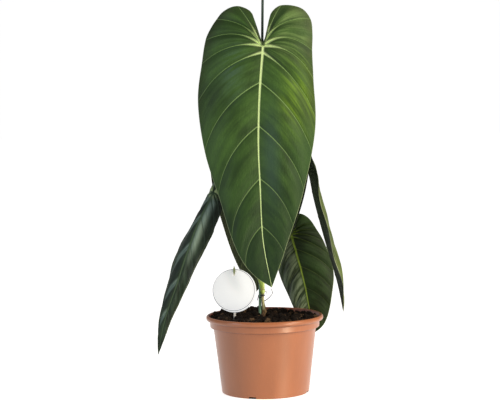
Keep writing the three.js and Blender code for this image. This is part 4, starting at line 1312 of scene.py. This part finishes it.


# Colours of each leaf: its body, a darker tone that is also painted shade in the hollows, the
# painted highlight on the crests between the laterals and how much it shows on the left and right
# half, the midrib, the laterals, the margin and the underside.
# The bodies and undersides are lighter or darker from leaf to leaf as painted light: leaves 2, 3
# and 4 are darker as painted shade, leaf 5's light olive body is a painted sheen of the light from
# the right and its dark underside is painted shade.
LEAF_LOOKS = {
    "leaf_1": {"body": "#3f5d29", "deep": "#263b19", "crest": "#5d8238", "rib": "#d8efa8",
               "line": "#8fb06a", "hem": "#a9b98a", "under": "#3d4d2c", "crests": (0.22, 0.3)},
    "leaf_2": {"body": "#33452a", "deep": "#22301c", "crest": "#4a6138", "rib": "#a9c07a",
               "line": "#6f8c4e", "hem": "#6d7650", "under": "#333d27", "crests": (0.3, 0.3)},
    "leaf_3": {"body": "#29392a", "deep": "#0e1711", "crest": "#60786a", "rib": "#43573f",
               "line": "#3c5045", "hem": "#66735a", "under": "#333f2b", "crests": (0.1, 0.2)},
    "leaf_4": {"body": "#314721", "deep": "#18200f", "crest": "#7a8a6b", "rib": "#8fa940",
               "line": "#4d5f30", "hem": "#8d9d70", "under": "#37432a", "crests": (0.85, 0.05)},
    "leaf_5": {"body": "#66753d", "deep": "#414f26", "crest": "#8b9a66", "rib": "#b4c684",
               "line": "#8a9a5c", "hem": "#c3cda6", "under": "#232d1b", "crests": (0.4, 0.4)},
}


def large_leaf_tints(s, look, tint, f):
    """The large leaf's painted light: an olive glow on its right shoulder, bluish reflections
    beside the midrib and at the upper left, shade beside the laterals of the lobes, a brownish
    shade along its rolled upper edge and a darker tip, all painted.
    """
    x, l, edge, streaks = f["x"], f["l"], f["edge"], f["streaks"]
    lobe = s.smooth(x, 5.0, 30.0) * s.smooth(l, 35.0, -10.0)
    low = s.smooth(x, 35.0, 60.0) * s.smooth(l, 100.0, 140.0)
    shoulder = s.smooth(x, 18.0, 52.0) * s.band(l, 72.0, 85.0)
    # Painted shade on one side of each lateral in the lobes.
    pleat = s.smooth((f["vein"] * (2 * math.pi)).sine(), -0.1, 0.9) * s.smooth(f["vein"], 5.0, 3.5)
    strip = s.band(x, 17.0, 20.0) * s.band(l, 170.0, 125.0)
    patch = s.band(x, -40.0, 26.0) * s.band(l, 40.0, 60.0) * s.smooth(streaks, 0.4, 0.6)
    edge_shade = s.near(edge, 16.0) * s.smooth(l, 150.0, 60.0)
    edge_shade = edge_shade * (0.4 + s.smooth(streaks, 0.4, 0.6) * 0.6)
    return s.paint(tint, ("lobe", lobe * (0.1 + s.smooth(streaks, 0.4, 0.65) * 0.5)),
                   ("low_right", low * 0.55),
                   ("olive_shoulder", shoulder * (0.2 + s.smooth(streaks, 0.42, 0.7) * 0.75)),
                   (look["deep"], pleat * s.smooth(edge, 0.0, 8.0) * 0.55),
                   ("blue_strip", strip * 0.75), ("blue_patch", patch * 0.5),
                   ("brown_edge", edge_shade * 0.6), ("dark_tip", s.smooth(l, 120.0, 320.0) * 0.66))


def left_leaf_tints(s, look, tint, f):
    """The left leaf's painted highlights along the laterals, painted shade on the crests between
    them, a painted silvery sheen beside the fold and its pale joint.
    """
    x, l = f["x"], f["l"]
    left = s.smooth(x, 0.0, -3.0) * s.smooth(f["edge"], 0.0, 5.0)
    silver = s.band(x, 5.5, 6.5) * s.smooth(l, 0.0, 20.0) * s.smooth(l, 120.0, 70.0)
    return s.paint(tint, ("pale_line", s.near(f["line"], 4.5) * left * 0.65),
                   (look["deep"], f["crest"] * left * 0.6),
                   ("silver_band", silver * s.smooth(f["streaks"], 0.3, 0.55, 0.6, 1.0) * 0.8),
                   ("pale_joint", s.near(f["away"], 15.0) * 0.9))


def back_leaf_tints(s, look, tint, f):
    """Painted grey sheen in streaks left of the midrib."""
    streak = s.band(f["x"], -13.0, 17.0) * s.smooth(f["streaks"], 0.42, 0.58, 0.12, 1.0)
    return s.paint(tint, ("grey_streak", streak * s.smooth(f["l"], -10.0, 20.0) * 0.65))


OWN_TINTS = {"leaf_1": large_leaf_tints, "leaf_3": left_leaf_tints, "leaf_4": back_leaf_tints}


def leaf_upper(leaf, settings):
    name = leaf["name"]
    look = {key: colour(code) for key, code in LEAF_LOOKS[name].items()}
    s = Shader(name + "_upper", IOR=1.42, Specular_IOR_Level=settings.gloss,
               Sheen_Weight=settings.sheen, Sheen_Roughness=0.35, Sheen_Tint=colour("velvet"))
    flat = s.vector_field("flat")
    x, l, _ = s.axes(flat)
    q, t, line, rib, edge = s.fields(*BLADE_FIELDS)
    tip = l / leaf["length"]
    away = (x * x + l * l) ** 0.5
    broad = s.noise(flat, 0.018)
    streaks = s.noise(s.combine(q * 6, t * 1.8))
    net = s.cells(s.combine(q * 7, t * 16), 1.0, "DISTANCE_TO_EDGE")
    grain = s.noise(flat, 0.9, 3.0, 0.6)
    # Where the crests between the laterals catch painted light; their painted highlight, and the
    # painted shade in the hollows by the laterals, follow.
    crest = s.smooth(abs((q * math.pi).sine()), 0.35, 1.0) * s.smooth(rib, 1.0, 5.0)
    crest = crest * s.smooth(streaks, 0.36, 0.62, 0.2, 1.0) * s.smooth(edge, 1.0, 6.0)
    tint = s.mix(look["deep"], look["body"], s.smooth(broad + streaks * 0.35, 0.45, 0.8))
    tint = s.paint(tint, (look["crest"], crest * s.blend(*look["crests"], s.smooth(x, -3.0, 3.0))),
                   (scaled(look["body"], 0.6), s.near(net, 0.12) * 0.25),
                   (look["deep"], s.near(line, 6.0) * (1 - t * 0.5) * 0.6))
    if name in OWN_TINTS:
        tint = OWN_TINTS[name](s, look, tint, {
            "x": x, "l": l, "vein": q, "line": line, "edge": edge, "streaks": streaks,
            "crest": crest, "away": away})
    veins = s.near(line / s.blend(1.15, 0.5, t), 1.0) * (1 - t * 0.45)
    reach = 0.12 * leaf["length"]
    foot = s.near(away, reach)
    tint = s.paint(tint, (look["line"], veins * s.smooth(tip, 0.2, 0.9, 1.0, 0.5) * 0.9),
                   (look["rib"], s.near(line / (1.0 + foot * (0.06 * reach)), 1.0) * foot),
                   (look["hem"], s.near(edge, 1.0) * s.smooth(tip, 0.1, 0.5, 0.25, 0.8)),
                   (look["rib"], s.near(rib / s.blend(2.3, 0.4, tip) - 0.35, 0.75)))
    height = streaks * 0.3 + s.smooth(net, 0.0, 0.3) * 0.12 + grain * 0.12
    return s.finish(tint, 0.42 + grain * 0.14, height)


def leaf_under(leaf):
    look = LEAF_LOOKS[leaf["name"]]
    under = colour(look["under"])
    s = Shader(leaf["name"] + "_under", IOR=1.4, Specular_IOR_Level=0.25)
    l = s.axes(s.vector_field("flat"))[1]
    q, t, line, rib, edge = s.fields(*BLADE_FIELDS)
    streaks = s.noise(s.combine(q * 9, t * 1.5), detail=3.0)
    net = s.cells(s.combine(q * 8, t * 18), 1.0, "DISTANCE_TO_EDGE")
    middle = s.near(rib / s.blend(2.6, 0.8, l / leaf["length"]) - 0.4, 0.6)
    tint = s.shaded(under, 0.65, s.smooth(streaks, 0.3, 0.65))
    if leaf["name"] == "leaf_5":
        tint = s.paint(tint, ("lit_underside", s.smooth(l, 120.0, 30.0) * 0.75))
    tint = s.paint(tint, (scaled(under, 2.0), s.near(net, 0.1) * 0.3),
                   (scaled(under, 3.2), s.near(line, 1.1) * (1 - t * 0.5) * 0.8),
                   (look["hem"], s.near(edge, 0.9) * 0.6), (scaled(under, 2.2), middle))
    return s.finish(tint, 0.5, streaks * 0.3 - s.near(net, 0.15) * 0.1)


class AddLeaves(bpy.types.Operator):
    """Adds the five leaf blades"""
    bl_idname = "potted_plant.add_leaves"
    bl_label = "Add leaves"

    def execute(self, context):
        settings = context.scene.plant_leaves
        for leaf in LEAVES:
            materials = [leaf_upper(leaf, settings), leaf_under(leaf)]
            piece(leaf["name"] + "_lamina", blade_shape(leaf, settings), materials,
                  [leaf["name"] + "_blade"], sharp=60)
        return {"FINISHED"}


def petiole_shape(leaf):
    """From the stem to the midrib's foot, with a sheath below and a swelling under the blade."""
    centre, _, normal = blade_frame(leaf, np.array(JOINT["place"]))
    joint = centre - normal * (BLADE_THICKNESS + RIB_DEPTH + GAP)
    elbow = joint - normal * JOINT["elbow"]
    path = curve_through([*leaf["petiole"], elbow, joint], STEPS["petiole"])
    t = np.linspace(0, 1, len(path))
    sheath, low, high = leaf["radii"]
    radii = mixed(low, high, t) + (sheath - low) * np.exp(-JOINT["fade"] * t) - 0.05
    total = np.linalg.norm(np.diff(path, axis=0), axis=1).sum()

    def relief(along, angle):
        groove = -0.22 * np.exp(-(((angle - math.pi) / 0.5) ** 2)) * ramp(0, 30, along)
        ribs = 0.04 * np.sin(12 * angle)
        return groove * (1 - ramp(total - 12, total, along)) + ribs

    return tube(path, radii, SIDES["petiole"], relief)


def petiole_skin(settings):
    s = Shader("petiole", IOR=1.42, Specular_IOR_Level=0.45)
    along, turn = s.fields("along", "turn")
    ribs = s.noise(s.combine(turn * 30, along * 0.03))
    flecks = s.noise(s.combine(turn * 14, along * 0.5, 3.0))
    tint = s.paint(s.shaded(settings.petiole, 0.6, s.smooth(ribs, 0.3, 0.6)),
                   ("pale_rib", s.smooth(ribs, 0.55, 0.75) * 0.5),
                   ("petiole_fleck", s.smooth(flecks, 0.62, 0.7) * 0.6),
                   ("petiole_foot", s.near(along, 9.0) * 0.5))
    return s.finish(tint, 0.42, ribs * 0.2)


class AddPetioles(bpy.types.Operator):
    """Adds the stalks between the stem and the blades"""
    bl_idname = "potted_plant.add_petioles"
    bl_label = "Add petioles"

    def execute(self, context):
        material = petiole_skin(context.scene.plant_leaves)
        for leaf in LEAVES:
            piece(leaf["name"] + "_stalk", petiole_shape(leaf), [material],
                  [leaf["name"] + "_petiole"])
        return {"FINISHED"}


# ---------------------------------------------------------------- stage

CAMERA = {"place": (-18.7, -2000, 388.7), "down": 3.15, "roll": -0.834, "lens": 99.73,
          "sensor": 36, "clip": (0.05, 200)}
FLOOR_RADIUS = 40000
BACKDROP_RADIUS = 60000
# Each light's place, what it looks at and its size, in metres, and its colour. Its power is the
# setting of the same name. The low one stands below the floor and lights the pot's right side.
LIGHTS = {
    "key": ((2.2, -1.3, 1.35), (0, 0, 0.28), (0.9, 1.5), "#fff4e0"),
    "low": ((1.8, -1.75, -0.42), (0, 0, 0.06), (0.5, 0.7), "#fff0d0"),
    "side": ((-2.1, -1.3, 0.9), (0, 0, 0.35), (0.9, 1.4), "#e4efff"),
}


def area_light(name, place, target, size, power, tint):
    data = bpy.data.lights.new(name, "AREA")
    data.color = colour(tint)
    data.shape = "RECTANGLE"
    data.size, data.size_y = size
    data.energy = power
    light = bpy.data.objects.new(name, data)
    light.location = place
    light.rotation_mode = "QUATERNION"
    light.rotation_quaternion = (Vector(place) - Vector(target)).to_track_quat("Z", "Y")
    bpy.context.scene.collection.objects.link(light)
    return light


def stage_piece(name, shape, material):
    obj = bpy.data.objects.new(name, mesh_of(name, shape, [material], smooth=False))
    bpy.context.scene.collection.objects.link(obj)
    return obj


def pale_floor(settings):
    """A floor that gives out light of its own, with a painted shadow that makes it dark where the
    pot stands on it.
    """
    s = Shader("floor", Emission_Strength=0.75)
    x, y, _ = s.axes(s.place())
    out = (x ** 2 + y ** 2) ** 0.5
    # Painted shadow: the floor turns black under the pot's foot.
    tint = s.mix((0.0, 0.0, 0.0), settings.floor, s.smooth(out, POT["foot"] - 4.0, POT["foot"]))
    s.feed(s.surface.inputs["Emission Color"], tint)
    profile = np.array([(0, -40), (FLOOR_RADIUS, -40), (FLOOR_RADIUS, -0.1), (0, -0.1)])
    floor = stage_piece("floor", turned(profile, SIDES["floor"]), s.finish(tint, 0.9))
    floor.visible_diffuse = floor.visible_shadow = False
    return floor


def backdrop():
    """A white sphere round everything, which only the camera sees."""
    ball = icosphere(4)
    shape = Shape(ball.points * BACKDROP_RADIUS, [face[::-1] for face in ball.faces])
    s = Shader("backdrop", Emission_Strength=1.0, Emission_Color=(1.0, 1.0, 1.0))
    dome = stage_piece("backdrop", shape, s.finish((0.0, 0.0, 0.0), 1.0))
    dome.visible_diffuse = dome.visible_glossy = dome.visible_shadow = False
    dome.visible_transmission = False
    return dome


def photo_camera():
    data = bpy.data.cameras.new("camera")
    data.lens, data.sensor_width = CAMERA["lens"], CAMERA["sensor"]
    data.clip_start, data.clip_end = CAMERA["clip"]
    camera = bpy.data.objects.new("camera", data)
    down, roll = math.radians(CAMERA["down"]), math.radians(CAMERA["roll"])
    ahead = Vector((0, math.cos(down), -math.sin(down)))
    level, up = Vector((1, 0, 0)), Vector((0, math.sin(down), math.cos(down)))
    right = level * math.cos(roll) + up * math.sin(roll)
    up = up * math.cos(roll) - level * math.sin(roll)
    axes = Matrix((right, up, -ahead)).transposed().to_4x4()
    camera.matrix_world = Matrix.Translation(Vector(CAMERA["place"]) * MM) @ axes
    bpy.context.scene.collection.objects.link(camera)
    return camera


class AddStage(bpy.types.Operator):
    """Adds the pale floor, the soft light and the camera"""
    bl_idname = "potted_plant.add_stage"
    bl_label = "Add stage"

    def execute(self, context):
        scene, settings = context.scene, context.scene.plant_stage
        floor, dome = pale_floor(settings), backdrop()
        lights = [area_light(name, place, target, size, getattr(settings, name), tint)
                  for name, (place, target, size, tint) in LIGHTS.items()]
        world = bpy.data.worlds.new("studio")
        world.use_nodes = True
        background = world.node_tree.nodes["Background"]
        background.inputs["Color"].default_value = (1, 1, 1, 1)
        background.inputs["Strength"].default_value = settings.ambient
        scene.world = world
        scene.camera = photo_camera()
        scene.view_settings.view_transform = "Standard"
        return {"FINISHED"}


# ---------------------------------------------------------------- panel and registration

class PlantPanel(bpy.types.Panel):
    """Builds the plant piece by piece"""
    bl_label = "Potted Philodendron"
    bl_idname = "VIEW3D_PT_potted_plant"
    bl_space_type = "VIEW_3D"
    bl_region_type = "UI"
    bl_category = "Plant"

    def draw(self, context):
        for operator in OPERATORS:
            self.layout.operator(operator.bl_idname)
        for name, group in SETTINGS.items():
            box = self.layout.box()
            box.label(text=name.replace("plant_", "").capitalize())
            settings = getattr(context.scene, name)
            for prop in group.__annotations__:
                box.prop(settings, prop)


OPERATORS = [AddPot, AddSoil, AddStake, AddStem, AddTie, AddLabel, AddPetioles, AddLeaves, AddStage]
SETTINGS = {"plant_leaves": LeafSettings, "plant_pot": PotSettings, "plant_soil": SoilSettings,
            "plant_stem": StemSettings, "plant_label": LabelSettings, "plant_stage": StageSettings}


def register():
    for group in (*SETTINGS.values(), *OPERATORS, PlantPanel):
        bpy.utils.register_class(group)
    for name, group in SETTINGS.items():
        setattr(bpy.types.Scene, name, PointerProperty(type=group))


def unregister():
    for name in SETTINGS:
        delattr(bpy.types.Scene, name)
    for group in reversed((*SETTINGS.values(), *OPERATORS, PlantPanel)):
        bpy.utils.unregister_class(group)


def main():
    register()
    for operator in OPERATORS:
        group, name = operator.bl_idname.split(".")
        getattr(getattr(bpy.ops, group), name)()
    bpy.context.view_layer.update()


if __name__ == "__main__":
    main()
